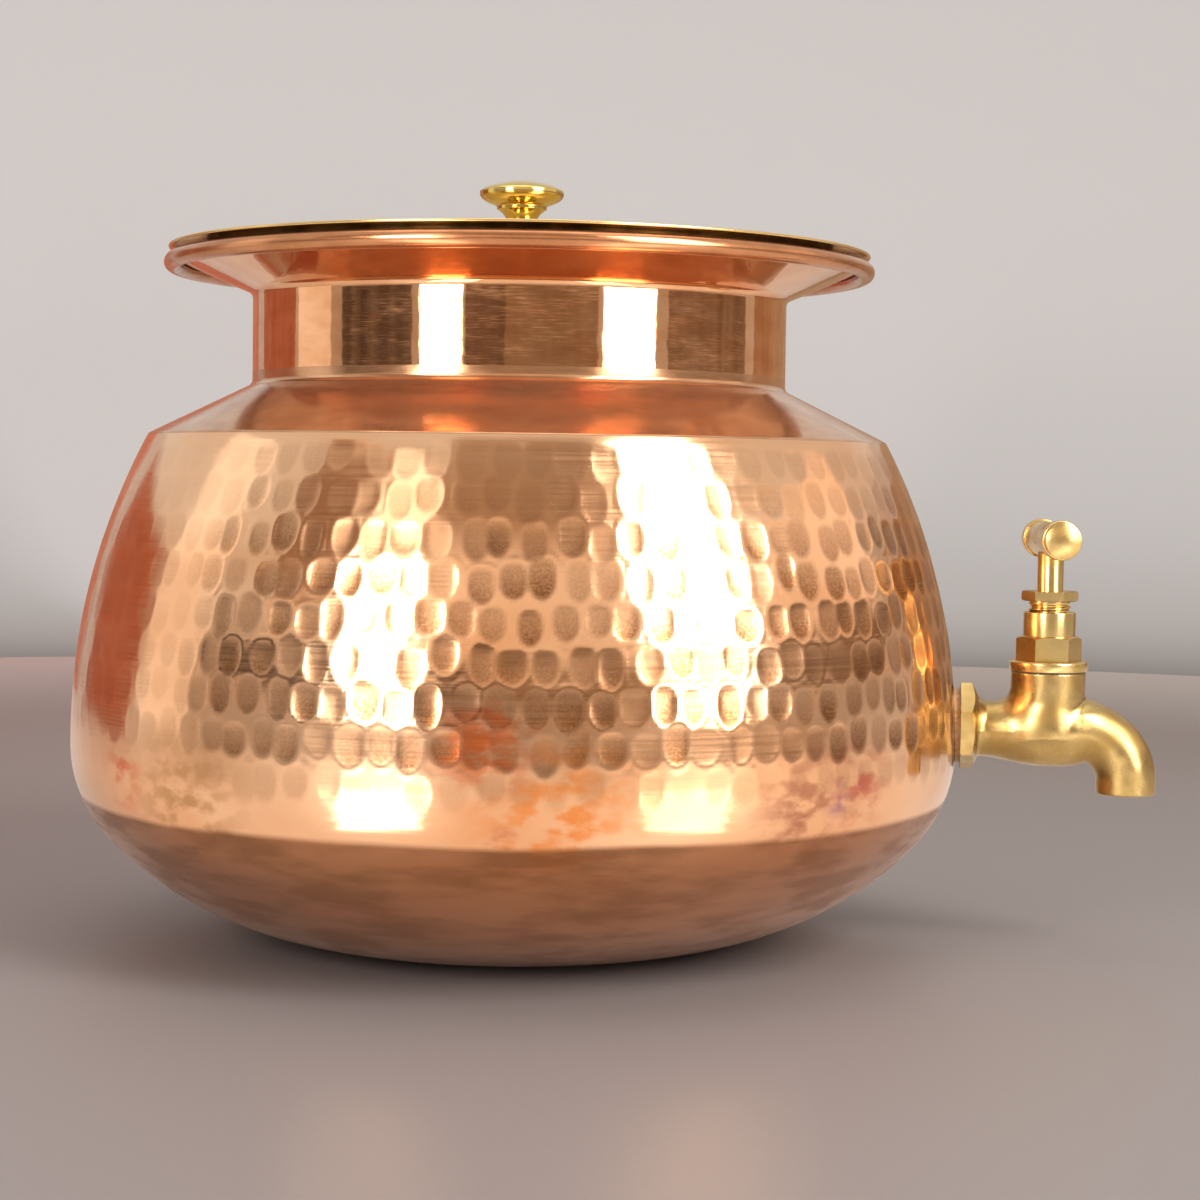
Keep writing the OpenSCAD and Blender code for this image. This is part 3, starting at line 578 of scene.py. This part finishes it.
KNOB_H = KNOB[1][2] - LID[1][2]
KNOB_R = KNOB[1][0]
KNOB_FOOT_R = 8.5
KNOB_WAIST_R = 4.7
KNOB_DOME_H = 3.8
KNOB_UNDER_H = 5.0
KNOB_RIM_H = 0.8
KNOB_RING_H = 1.2


def knob_skin():
    """Turned knob: foot ring, hollow waist, collar ring, and a head round below and flatter above."""
    rim_z = KNOB_H - KNOB_DOME_H - KNOB_RIM_H
    collar_z = rim_z - KNOB_UNDER_H * math.sqrt(1 - (KNOB_FOOT_R / KNOB_R) ** 2)
    neck_h = collar_z - 2 * KNOB_RING_H
    cut = KNOB_FOOT_R - KNOB_WAIST_R
    waist_r = (neck_h ** 2 / 4 + cut ** 2) / (2 * cut)
    swing = math.degrees(math.asin(neck_h / 2 / waist_r))
    waist = arc((KNOB_WAIST_R + waist_r, collar_z / 2), waist_r, 180 + swing, 180 - swing, 0.2)
    start = math.asin(KNOB_FOOT_R / KNOB_R)
    under = [(KNOB_R * math.sin(a), rim_z - KNOB_UNDER_H * math.cos(a))
             for a in np.linspace(start, math.pi / 2, 24)]
    dome = [(KNOB_R * math.cos(a), rim_z + KNOB_RIM_H + KNOB_DOME_H * (math.sin(a) + math.sin(a) ** 2) / 2)
            for a in np.linspace(0, math.pi / 2, 32)]
    corners = [(0, 0, 0), (KNOB_FOOT_R, 0, 0.3), (KNOB_FOOT_R, KNOB_RING_H, 0.6)]
    corners += [(p[0], p[1], 0) for p in waist[1:-1]]
    corners += [(KNOB_FOOT_R, collar_z - KNOB_RING_H, 0.6), (KNOB_FOOT_R, collar_z - 0.2, 0.4)]
    corners += [(p[0], p[1], 0) for p in under[1:]] + [(p[0], p[1], 0) for p in dome]
    return turned(softened(corners), 180, closed=False)


# Tap: mm from the crossing of the inlet's axis and the upright axis

CHAMBER_TOP = box("bonnet_gasket")[0][2] - TAP_Z
COLLAR_Z = box("bonnet_gasket")[1][2] - TAP_Z
BONNET_END = BONNET[1][2] - TAP_Z
GLAND_END = GLAND[1][2] - TAP_Z
FLANGE_X = box("outer_washer")[1][0] - TAP_X
TAIL_END = TAP[0][0] - TAP_X
MOUTH_Z = TAP[0][2] - TAP_Z
FLANGE_FLATS = 25.4
FLANGE_T = 5.5
FLANGE_FILLET = 3.8
FLANGE_TURN = 7
BARREL_R = 9.2
BARREL_DROP = 0.9
FLANGE_ROOT_R = 11.3
TAP_BELLY_R = 12.0
SPOUT_R = 9.85
SPOUT_X = 26.2
BEND_R = 16.0
CHAMBER_R = 12.35
SPOUT_BORE_R = 7.0
SPOUT_BORE_X = 5.0
INLET_BORE_R = 5.5
THROAT_R = 3.25
THROAT_X = -14.0
WELL_R = 5.5
WELL_Z = -7.2
WELL_TOP_Z = 3.0
SEAT_BORE_R = 4.5
SEAT_Z = 7.0
SEAT_LIP_R = 6.0
SEAT_LIP_H = 1.5
BONNET_ROOM_R = 9.0
TAIL_R = 8.35
TAIL_PITCH = 1.337
TAIL_THREAD_DEPTH = 0.7
TO_TAP = Matrix.Translation((TAP_X, 0, TAP_Z))
TO_INLET = TO_TAP @ Matrix.Rotation(math.radians(90), 4, "Y")
HEX_COLUMNS = 360
CHAMFER_ANGLE = 28.0


def hex_r(flats, turn):
    """Radius of a hexagon in each column; its corners lie at turn and every 60 degrees from there."""
    a = np.arange(HEX_COLUMNS) * 360 / HEX_COLUMNS - turn
    return flats / 2 / np.cos(np.radians(a % 60 - 30))


def chamfered(r, z, free_r, way):
    """Height of a hexagon's end where its corners are turned off outside free_r."""
    return z - way * np.maximum(0, r - free_r) * math.tan(math.radians(CHAMFER_ANGLE))


def thread_rings(low, high, r, depth, pitch, columns, step):
    """Rings of an upright screw thread between two heights, run out at both ends."""
    turns = np.arange(columns) / columns
    rings = []
    for z in np.arange(low, high + step / 2, step):
        phase = np.abs(((z / pitch - turns) % 1) * 2 - 1)
        runout = np.clip(min(z - low, high - z) / (0.6 * pitch), 0, 1)
        rings.append(ring(r - depth * runout * np.clip(phase * 1.5 - 0.25, 0, 1), z, columns))
    return rings


def smooth_union(a, b, k):
    h = np.clip(0.5 + 0.5 * (b - a) / k, 0, 1)
    return b * (1 - h) + a * h - k * h * (1 - h)


def swell(x):
    """Radius of the casting along its middle line: inlet stem, belly and spout."""
    belly = BARREL_R + (TAP_BELLY_R - BARREL_R) * ease(x, -22, -2)
    return belly + (SPOUT_R - TAP_BELLY_R) * ease(x, 4, 20)


def bent_rod(x, y, z, radius):
    """Signed distance to a rod that runs level from the inlet, bends round and ends upright at the spout."""
    bend_x, bend_z = SPOUT_X - BEND_R, -BARREL_DROP - BEND_R
    out = np.hypot(x - bend_x, z - bend_z)
    level = np.hypot(y, z + BARREL_DROP) - radius(x)
    bend = np.hypot(out - BEND_R, y) - radius(bend_x + BEND_R * (x - bend_x) / np.maximum(out, 1e-6))
    upright = np.hypot(x - SPOUT_X, y) - radius(SPOUT_X)
    return np.where(x < bend_x, np.minimum(level, np.where(z < bend_z, upright, level)),
                    np.where(z < bend_z, upright, bend))


def casting(x, y, z):
    """Signed distance to the outside of the tap's casting."""
    front = FLANGE_X + FLANGE_T
    u = np.clip((x - front) / FLANGE_FILLET, 0, 1)
    root_r = FLANGE_ROOT_R - (FLANGE_ROOT_R - BARREL_R) * np.sqrt(1 - (1 - u) ** 2)
    root = np.hypot(y, z + BARREL_DROP * ease(x, front, front + FLANGE_FILLET)) - root_r
    root = np.maximum(root * 0.7, x - front - FLANGE_FILLET)
    body = np.maximum(np.minimum(root, bent_rod(x, y, z, swell)), front - 1.5 - x)
    chamber = np.maximum(np.hypot(x, y) - CHAMBER_R, -2 - z)
    # A wide hollow towards the inlet, a sharp crease towards the spout
    body = smooth_union(body, chamber, 1.2 + 3.2 * (1 - ease(x, 1, 9)))
    # Hand-fettled skin: low waves and the flattened line where the mould's halves met
    waves = 0.05 * np.sin(x * 0.55 + 1.3 * np.sin(z * 0.35)) * np.sin(z * 0.5 + y * 0.6 + 0.8)
    parting = 0.1 * np.exp(-((z + BARREL_DROP) / 0.5) ** 2) * (x < -11)
    body = body + waves - parting
    body = -smooth_union(-body, CHAMBER_TOP - z, 0.15)
    return -smooth_union(-body, z - MOUTH_Z, 0.5)


def waterway(x, y, z):
    """Signed distance to the bores: inlet, throat, well, seat, room round the seat's lip, and spout."""
    upright = np.hypot(x, y)
    across = np.hypot(y, z)
    bores = [np.maximum(across - INLET_BORE_R, x + CHAMBER_R),
             np.maximum(across - THROAT_R, np.maximum(THROAT_X - x, x)),
             np.maximum(upright - WELL_R, np.maximum(WELL_Z - z, z - WELL_TOP_Z)),
             np.maximum(upright - SEAT_BORE_R, np.maximum(-z, z - SEAT_Z - 1)),
             np.maximum(upright - BONNET_ROOM_R, SEAT_Z - z),
             np.maximum(np.maximum(upright - BONNET_ROOM_R, SEAT_LIP_R - upright), SEAT_Z - SEAT_LIP_H - z),
             np.maximum(bent_rod(x, y, z, lambda at: SPOUT_BORE_R), SPOUT_BORE_X - x)]
    return np.minimum.reduce(bores)


def tap_field(x, y, z):
    return np.maximum(casting(x, y, z), -waterway(x, y, z))


def skinned(field, low, high, step):
    """Closed skin of quads where a field changes sign, drawn onto its zero level."""
    axes = [np.arange(a, b + step, step) for a, b in zip(low, high)]
    values = field(*np.meshgrid(*axes, indexing="ij"))
    cells = np.array(values.shape) - 1
    total, count = np.zeros((cells.prod(), 3)), np.zeros(cells.prod())
    quads = []
    for axis in range(3):
        a = np.moveaxis(values, axis, 0)
        cross = np.moveaxis((a[:-1] < 0) != (a[1:] < 0), 0, axis)
        at = np.argwhere(cross)
        step_on = np.eye(3, dtype=int)[axis]
        first, second = values[tuple(at.T)], values[tuple((at + step_on).T)]
        spot = at + np.outer(first / (first - second), step_on)
        u, v = np.eye(3, dtype=int)[(axis + 1) % 3], np.eye(3, dtype=int)[(axis + 2) % 3]
        corners = []
        for back in (0 * u, u, u + v, v):
            flat = np.ravel_multi_index(tuple((at - back).T), cells)
            np.add.at(total, flat, spot)
            np.add.at(count, flat, 1)
            corners.append(flat)
        quad = np.stack(corners, axis=1)
        quads.append(np.where((first < 0)[:, None], quad, quad[:, ::-1]))
    used = count > 0
    number = np.cumsum(used) - 1
    points = np.array(low) + total[used] / count[used][:, None] * step
    small = 0.02
    for _ in range(3):
        x, y, z = points.T
        f = field(x, y, z)
        g = np.stack([field(x + small, y, z) - field(x - small, y, z),
                      field(x, y + small, z) - field(x, y - small, z),
                      field(x, y, z + small) - field(x, y, z - small)], axis=1) / (2 * small)
        move = -(f / np.maximum((g ** 2).sum(axis=1), 0.05))[:, None] * g
        points = points + np.clip(move, -step / 2, step / 2)
    return points, number[np.concatenate(quads)].tolist()


TAP_GRID_STEP = 0.45


def tap_casting():
    """Skin of the casting from the flange's back to beyond the spout."""
    return skinned(tap_field, (FLANGE_X, -15, MOUTH_Z - 2), (39, 15, CHAMBER_TOP + 2), TAP_GRID_STEP)


def inlet_flange():
    """Hexagon flange with its threaded tail, along the inlet's axis."""
    flats = hex_r(FLANGE_FLATS, FLANGE_TURN)
    free = FLANGE_FLATS / 2 * 1.12
    back, front = FLANGE_X, FLANGE_X + FLANGE_T
    turned_r = FLANGE_ROOT_R - 0.1
    rings = [ring(INLET_BORE_R, back, HEX_COLUMNS), ring(INLET_BORE_R, TAIL_END, HEX_COLUMNS),
             ring(TAIL_R - 1, TAIL_END, HEX_COLUMNS)]
    rings += thread_rings(TAIL_END + 0.5, back, TAIL_R, TAIL_THREAD_DEPTH, TAIL_PITCH, HEX_COLUMNS, 0.25)
    rings += [ring(free, back, HEX_COLUMNS), ring(flats, chamfered(flats, back, free, -1), HEX_COLUMNS),
              ring(flats, chamfered(flats, front, turned_r, 1), HEX_COLUMNS),
              ring(turned_r, front, HEX_COLUMNS), ring(BARREL_R - 1, front, HEX_COLUMNS)]
    return ring_skin(rings, closed=True)


BONNET_FLATS = 18.8
BONNET_TURN = 3
BONNET_COLLAR_R = 12.9
BONNET_COLLAR_H = 3.3
BONNET_HEX_H = 8.3
BONNET_SEAT_R = 10.9
BONNET_TOP_R = 8.65
NUT_BORE_R = 5.6
SKIRT_BORE_R = 7.2
SKIRT_BORE_H = 8.0
GLAND_R = 6.95
GLAND_DEPTH = 6.0
GLAND_PITCH = 1.8
GLAND_THREAD_DEPTH = 0.65
GLAND_FLATS = 16.2
GLAND_TURN = -4
GLAND_HEX_H = 3.2
SPINDLE_R = 4.3
SKIRT_R = 8.9
SCREW_LEAD = 2.0


def bonnet():
    """Collar, hexagon and round top above the chamber, with the skirt that screws into it."""
    flats = hex_r(BONNET_FLATS, BONNET_TURN)
    free = BONNET_FLATS / 2 * 0.95
    hex_z = COLLAR_Z + BONNET_COLLAR_H
    top_z = hex_z + BONNET_HEX_H
    skirt_z = BONNET[0][2] - TAP_Z
    outside = softened([(SKIRT_BORE_R, skirt_z, 0), (SKIRT_R, skirt_z, 0.3), (SKIRT_R, COLLAR_Z, 0),
                        (BONNET_COLLAR_R, COLLAR_Z, 0.12), (BONNET_COLLAR_R, hex_z, 0.9),
                        (BONNET_SEAT_R, hex_z, 0)])
    rings = [ring(r, z, HEX_COLUMNS) for r, z in outside]
    rings += [ring(flats, hex_z, HEX_COLUMNS), ring(flats, chamfered(flats, top_z, free, 1), HEX_COLUMNS),
              ring(free, top_z, HEX_COLUMNS)]
    gland_z, skirt_end = BONNET_END - GLAND_DEPTH, skirt_z + SKIRT_BORE_H
    top = softened([(BONNET_TOP_R, top_z, 0), (BONNET_TOP_R, BONNET_END, 0.4),
                    (GLAND_R + 0.05, BONNET_END, 0.2), (GLAND_R + 0.05, gland_z, 0)])
    rings += [ring(r, z, HEX_COLUMNS) for r, z in top]
    rings += [ring(NUT_BORE_R, gland_z, HEX_COLUMNS), ring(NUT_BORE_R, skirt_end, HEX_COLUMNS),
              ring(SKIRT_BORE_R, skirt_end, HEX_COLUMNS)]
    return ring_skin(rings, closed=True)


def gland_nut():
    """Nut that presses the packing, with its thread showing above the bonnet."""
    flats = hex_r(GLAND_FLATS, GLAND_TURN)
    free = GLAND_FLATS / 2 * 1.09
    low, hex_z = GLAND[0][2] - TAP_Z, GLAND_END - GLAND_HEX_H
    bore = SPINDLE_R + 0.1
    rings = [ring(bore, low, HEX_COLUMNS)]
    rings += thread_rings(low, hex_z - 0.5, GLAND_R, GLAND_THREAD_DEPTH, GLAND_PITCH, HEX_COLUMNS, 0.15)
    rings += [ring(GLAND_R - 0.55, hex_z - 0.45, HEX_COLUMNS), ring(GLAND_R - 0.55, hex_z, HEX_COLUMNS),
              ring(free, hex_z, HEX_COLUMNS), ring(flats, chamfered(flats, hex_z, free, -1), HEX_COLUMNS),
              ring(flats, chamfered(flats, GLAND_END, free, 1), HEX_COLUMNS),
              ring(free, GLAND_END, HEX_COLUMNS), ring(bore + 0.5, GLAND_END, HEX_COLUMNS),
              ring(bore, GLAND_END - 0.5, HEX_COLUMNS)]
    return ring_skin(rings, closed=True)


SPINDLE = box("spindle")
SCREW_R = 5.5
SCREW_L = 13.0
SCREW_THREAD_DEPTH = 0.8
STEM_BORE_R = 2.55
STEM_BORE_H = 9.0


def spindle():
    """Spindle with its screw, and the bore that takes the jumper's stem."""
    low, high = SPINDLE[0][2] - TAP_Z, SPINDLE[1][2] - TAP_Z
    columns = 96
    rings = [ring(STEM_BORE_R, low + STEM_BORE_H, columns), ring(STEM_BORE_R, low, columns)]
    rings += thread_rings(low + 0.05, low + SCREW_L, SCREW_R, SCREW_THREAD_DEPTH, SCREW_LEAD, columns, 0.2)
    rings += [ring(r, z, columns) for r, z in softened([(SPINDLE_R + 0.4, low + SCREW_L, 0),
                                                       (SPINDLE_R, low + SCREW_L, 0), (SPINDLE_R, high, 0.3),
                                                       (0, high, 0)])]
    rings += [ring(0, low + STEM_BORE_H, columns)]
    return ring_skin(rings, closed=True)


TEE_Z = (TEE[0][2] + TEE[1][2]) / 2 - TAP_Z
TEE_TURN = 8
TEE_HALF = 22.0
TEE_R = 5.9
TEE_RING_R = 6.6
TEE_RING_W = 4.0
TEE_GROOVE_R = 5.2
TEE_GROOVE_W = 0.9
TEE_BUTTON_H = 1.6
TEE_DOME_H = 1.2
LATHE_PITCH = 0.35
LATHE_DEPTH = 0.003


def tee_bar():
    """T-bar: a turned rod with a ring, a groove and a domed button at each end."""
    dome_r = (TEE_R ** 2 + TEE_DOME_H ** 2) / (2 * TEE_DOME_H)
    dome_a = math.degrees(math.asin(TEE_R / dome_r))
    end = TEE_HALF - TEE_DOME_H
    groove = end - TEE_BUTTON_H - TEE_GROOVE_W
    ring_z = groove - TEE_RING_W
    corners = [(TEE_R, 0, 0), (TEE_R, ring_z, 0.3), (TEE_RING_R, ring_z, 0.7), (TEE_RING_R, groove, 0.9),
               (TEE_GROOVE_R, groove, 0.25), (TEE_GROOVE_R, groove + TEE_GROOVE_W, 0.25),
               (TEE_R, groove + TEE_GROOVE_W, 0.3), (TEE_R, end, 0.4)]
    # The button's end keeps the fine rings of the lathe tool
    corners += [(p[0], p[1] - LATHE_DEPTH * (1 + math.sin(p[0] * 2 * math.pi / LATHE_PITCH)), 0)
                for p in arc((0, TEE_HALF - dome_r), dome_r, 90 - dome_a, 90, LATHE_PITCH / 5)[1:]]
    half = softened(corners)
    outline = [np.array([p[0], -p[1]]) for p in half[:0:-1]] + half
    return turned(outline, 128, closed=False)


def placed_tee():
    """Place of the T-bar across the top of the spindle."""
    return TO_TAP @ Matrix.Translation((0, 0, TEE_Z)) @ Matrix.Rotation(math.radians(TEE_TURN), 4, "Z") \
        @ Matrix.Rotation(math.radians(90), 4, "X")


BACK_NUT = box("back_nut")
BACK_NUT_FLATS = 24.0
BACK_NUT_FREE_R = 12.1


def back_nut():
    """Hexagon nut that holds the tap from inside the pot, along the inlet's axis."""
    flats = hex_r(BACK_NUT_FLATS, 0)
    free = BACK_NUT_FREE_R
    low, high = BACK_NUT[0][0] - TAP_X, BACK_NUT[1][0] - TAP_X
    bore = TAIL_R + 0.1
    rings = [ring(bore, high, HEX_COLUMNS), ring(bore, low + 0.6, HEX_COLUMNS),
             ring(bore + 0.6, low, HEX_COLUMNS), ring(free, low, HEX_COLUMNS),
             ring(flats, chamfered(flats, low, free, -1), HEX_COLUMNS), ring(flats, high, HEX_COLUMNS)]
    return ring_skin(rings, closed=True)


def tail_hole():
    """Room of the hole that the tap's tail takes through the wall."""
    hole_r = TAIL_R + 0.3
    return turned([(0, TAIL_END), (hole_r, TAIL_END), (hole_r, FLANGE_X), (0, FLANGE_X)], 96, closed=False)


pot_skin, blow_marks = hammered_pot()
pot = piece("pot", pot_skin, copper_wall, "vessel", ("pot_base", "pot_wall"),
            marks=blow_marks)
pierced(pot, tail_hole(), TO_INLET)
shoulder_outline, neck_outline = neck_outlines()
shoulder = piece("shoulder", turned(shoulder_outline, 512), copper_shoulder, "vessel",
                 ("shoulder_ring",))
refinish(shoulder, copper_wall, lambda r, z: z < SHOULDER_Z - SHOULDER_R / 2)
neck = piece("neck_and_rim", turned(neck_outline, 512), copper_neck, "vessel",
             ("neck_flare",))
# The rolled rim takes the darker copper: painted shade under the lid
refinish(neck, copper_rim, lambda r, z: r > RIM_R - 2 * (WIRE_R + SHEET_T))
piece("lid", lid_plate(), brass_sheet, "lid", ("lid_plate",))
piece("knob", knob_skin(), brass_knob, "lid", ("lid_knob",),
      place=Matrix.Translation((0, 0, LID[1][2])))
piece("tap_casting", tap_casting(), brass_cast, "vessel", ("tap_body",), sharp=50, place=TO_TAP)
piece("inlet_flange", inlet_flange(), brass_cast, "vessel", place=TO_INLET)
piece("bonnet_turned", bonnet(), brass_turned, "vessel", ("bonnet",), place=TO_TAP)
piece("gland_nut_turned", gland_nut(), brass_turned, "vessel", ("gland_nut",), place=TO_TAP)
piece("spindle_turned", spindle(), brass_turned, "handle", ("spindle",), place=TO_TAP)
piece("tee_bar", tee_bar(), brass_turned, "handle", ("tee_handle",), place=placed_tee())
piece("back_nut_turned", back_nut(), brass_turned, "vessel", ("back_nut",), place=TO_INLET)


# CAD nodes that stay
# The lid's collar takes the dark brown brass: painted shade in the gap under the lid
for nodes, material in ((("rim_wire",), copper_neck), (("lid_collar",), brass_in_painted_shade),
                        (("knob_washer", "knob_screw", "jumper_valve", "washer_nut"), brass_turned),
                        (("outer_washer", "inner_washer", "gland_packing"), fibre),
                        (("bonnet_gasket", "seat_washer"), rubber)):
    for node in nodes:
        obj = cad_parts[node]
        obj.data.materials.clear()
        obj.data.materials.append(material)


# Studio

# The camera, from the photograph's outlines of belly, rim and base; degrees and mm
VIEW_AZIMUTH = 9.0
CAMERA_DISTANCE = 841.0
CAMERA_HEIGHT = 156.2
CAMERA_YAW = 1.94
CAMERA_PITCH = 2.9
CAMERA_ROLL = 0.79
FOCAL_LENGTH = 73.5
FLAG_R = 1250.0


def stage_piece(name, skin, material, seen=True):
    """Object of the studio; some are there only to be mirrored."""
    points, faces = skin
    mesh = bpy.data.meshes.new(name)
    mesh.from_pydata((np.asarray(points) * MM).tolist(), [], faces)
    mesh.shade_smooth()
    mesh.materials.append(material)
    obj = bpy.data.objects.new(name, mesh)
    obj.visible_camera = seen
    bpy.context.scene.collection.objects.link(obj)


def cove():
    """Floor that runs up into a pale round backdrop; the camera sees the floor darker grey near the pot, as
    painted shade, and the metal mirrors it as pale all over.
    """
    paper, tree, shader = finish("studio paper", "#d6d1cf", 0.0, 0.5)
    spot = add(tree, "TexCoord", out="Object")
    away = add(tree, "VectorMath", {0: spot}, out="Value", operation="LENGTH")
    # Darker towards the pot where the camera sees the floor: painted shade
    far = add(tree, "MapRange", {0: away, 1: 0.7, 2: 1.6}, **SOFT_STEP)
    seen = add(tree, "Mix", {0: far, 6: linear("#776f6d"), 7: linear("#c6c1bf")}, **OF_COLOURS)
    looked_at = add(tree, "LightPath", out="Is Camera Ray")
    shown = add(tree, "Mix", {0: looked_at, 6: linear("#c4beba"), 7: seen}, **OF_COLOURS)
    tree.links.new(shown, shader.inputs["Base Color"])
    outline = [np.array([1, 0])] + arc((1200, 1800), 1800, -90, -28, 60)
    stage_piece("studio_cove", turned(outline, 96, closed=False), paper)


def flag(name, start, end, low, high, colour, fade=1):
    """Dark upright panel that gives the polished metal something to mirror; its ends fade over some mm.

    The angles are counted from the camera's side.
    """
    cloth, tree, shader = finish(name, colour, 0.0, 0.9)
    height = add(tree, "SeparateXYZ", {0: add(tree, "TexCoord", out="Object")}, out="Z")
    foot = add(tree, "MapRange", {0: height, 1: low * MM, 2: (low + fade) * MM}, **SOFT_STEP)
    head = add(tree, "MapRange", {0: height, 1: (high - fade) * MM, 2: high * MM, 3: 1.0, 4: 0.0},
               **SOFT_STEP)
    ends = add(tree, "Math", {0: foot, 1: head}, operation="MULTIPLY")
    folds = add(tree, "MapRange", {0: pattern(tree, (90, 90, 30), 4), 1: 0.3, 2: 0.75, 3: 1.0, 4: 0.86},
                **SOFT_STEP)
    dyed = add(tree, "Math", {0: ends, 1: folds}, operation="MULTIPLY")
    shown = add(tree, "Mix", {0: dyed, 6: linear("#d8ccc0"), 7: linear(colour)}, **OF_COLOURS)
    tree.links.new(shown, shader.inputs["Base Color"])
    angles = np.radians(VIEW_AZIMUTH + np.linspace(start, end, 24))
    across = np.stack([np.sin(angles), -np.cos(angles)], axis=1) * FLAG_R
    points = [(*p, z) for z in (low, high) for p in across]
    count = len(across)
    faces = [[i, i + 1, count + i + 1, count + i] for i in range(count - 1)]
    stage_piece(name, (points, faces), cloth, seen=False)


def studio_air():
    """Even pale light from all round."""
    world = bpy.data.worlds.new("studio air")
    bpy.context.scene.world = world
    world.use_nodes = True
    air = world.node_tree.nodes["Background"]
    air.inputs["Color"].default_value = linear("#f4f2ef")
    air.inputs["Strength"].default_value = 0.85


def softbox(name, azimuth, distance, low, high, width, radiance):
    """Upright area lamp that faces the pot; angles from the camera's side, sizes in m."""
    height = high - low
    a = math.radians(VIEW_AZIMUTH + azimuth)
    place = Vector((math.sin(a) * distance, -math.cos(a) * distance, (low + high) / 2))
    lamp(name, place, Vector((0, 0, place.z)) - place, width, height, radiance)


def lamp(name, place, aim, width, height, radiance):
    """Area lamp at a place, facing along aim; metres."""
    data = bpy.data.lights.new(name, "AREA")
    data.shape = "RECTANGLE"
    data.size, data.size_y = width, height
    data.energy = radiance * math.pi * width * height
    obj = bpy.data.objects.new(name, data)
    obj.location = place
    obj.rotation_euler = aim.to_track_quat("-Z", "Y").to_euler()
    obj.visible_camera = False
    bpy.context.scene.collection.objects.link(obj)
    return obj


def bounce(name, foot, way, radiance):
    """Row of lamps on the floor that shine up at the pot from its foot outwards, each wider than the last."""
    foot, way = math.radians(VIEW_AZIMUTH + foot), math.radians(VIEW_AZIMUTH + way)
    start = Vector((math.sin(foot), -math.cos(foot), 0)) * BELLY_R * MM
    ahead = Vector((math.sin(way), -math.cos(way), 0))
    near, far, count = 0.065, 0.45, 6
    for i in range(count):
        run, end = near * (far / near) ** (i / count), near * (far / near) ** ((i + 1) / count)
        place = start + ahead * (run + end) / 2 + Vector((0, 0, 0.002))
        width = 0.026 + 0.38 * (run + end) / 2
        obj = lamp(f"{name}_{i + 1}", place, Vector((0, 0, 1)), width, end - run, radiance)
        obj.rotation_euler = (math.pi, 0, way)


def backdrop_wash():
    """Lamp behind the pot that lights the backdrop evenly and isn't mirrored in the metal."""
    a = math.radians(VIEW_AZIMUTH)
    back = Vector((-math.sin(a), math.cos(a), 0))
    lamp("backdrop_wash", back * 1.2 + Vector((0, 0, 1.7)), back * 1.6 - Vector((0, 0, 1.3)), 2.6, 0.6,
         0.3).visible_glossy = False


def camera():
    """Camera at the photograph's place and angle."""
    data = bpy.data.cameras.new("camera")
    data.lens = FOCAL_LENGTH
    data.sensor_width = 36.0
    data.clip_start = 0.01
    obj = bpy.data.objects.new("camera", data)
    turn = (Matrix.Rotation(math.radians(VIEW_AZIMUTH - CAMERA_YAW), 4, "Z")
            @ Matrix.Rotation(math.radians(90 - CAMERA_PITCH), 4, "X")
            @ Matrix.Rotation(math.radians(CAMERA_ROLL), 4, "Z"))
    a = math.radians(VIEW_AZIMUTH)
    place = Vector((math.sin(a) * CAMERA_DISTANCE, -math.cos(a) * CAMERA_DISTANCE, CAMERA_HEIGHT)) * MM
    obj.matrix_world = Matrix.Translation(place) @ turn
    bpy.context.scene.collection.objects.link(obj)
    bpy.context.scene.camera = obj


cove()
studio_air()
flag("left_flag", -77, -44, 180, 380, "#2c1c14", 60)
flag("front_dark_flag", -22, -6, 180, 380, "#4a3628", 60)
flag("front_flag", -6, 31, 180, 380, "#78664f", 60)
flag("left_drape", -66, -47, 430, 1400, "#7c624e", 200)
flag("right_flag", 62, 107, 190, 370, "#625040", 60)
flag("limb_flag", 114, 172, 0, 400, "#8c7052")
flag("red_flag", -137, -106, 0, 470, "#8e4a31")
flag("red_drape", -168, -146, 0, 480, "#a05a40")
flag("front_drape", -24, 33, 381, 840, "#efe4d8")
flag("front_canopy", -24, 33, 840, 2000, "#9c8b7a", 250)
flag("right_drape", 64, 107, 381, 840, "#f0e4d8")
softbox("left_low_softbox", -32, 1.4, 0.2, 0.32, 0.43, 13.0)
softbox("left_softbox", -35, 1.4, 0.33, 0.88, 0.4, 16.0)
softbox("left_high_softbox", -34, 1.4, 0.97, 1.6, 0.4, 1.5)
softbox("left_fill", -94, 1.5, 0.0, 1.2, 0.55, 0.5)
softbox("right_low_softbox", 45, 1.4, 0.2, 0.32, 0.56, 13.0)
softbox("right_softbox", 47, 1.4, 0.44, 1.9, 0.72, 13.0)
lamp("top_softbox", Vector((0, 0.2, 2.4)), Vector((0, -0.1, -1)), 2.2, 1.8, 1.1)
bounce("left_bounce", -18, -32, 3.0)
bounce("right_bounce", 23, 41, 1.8)
backdrop_wash()
camera()
bpy.context.scene.view_settings.view_transform = "Standard"
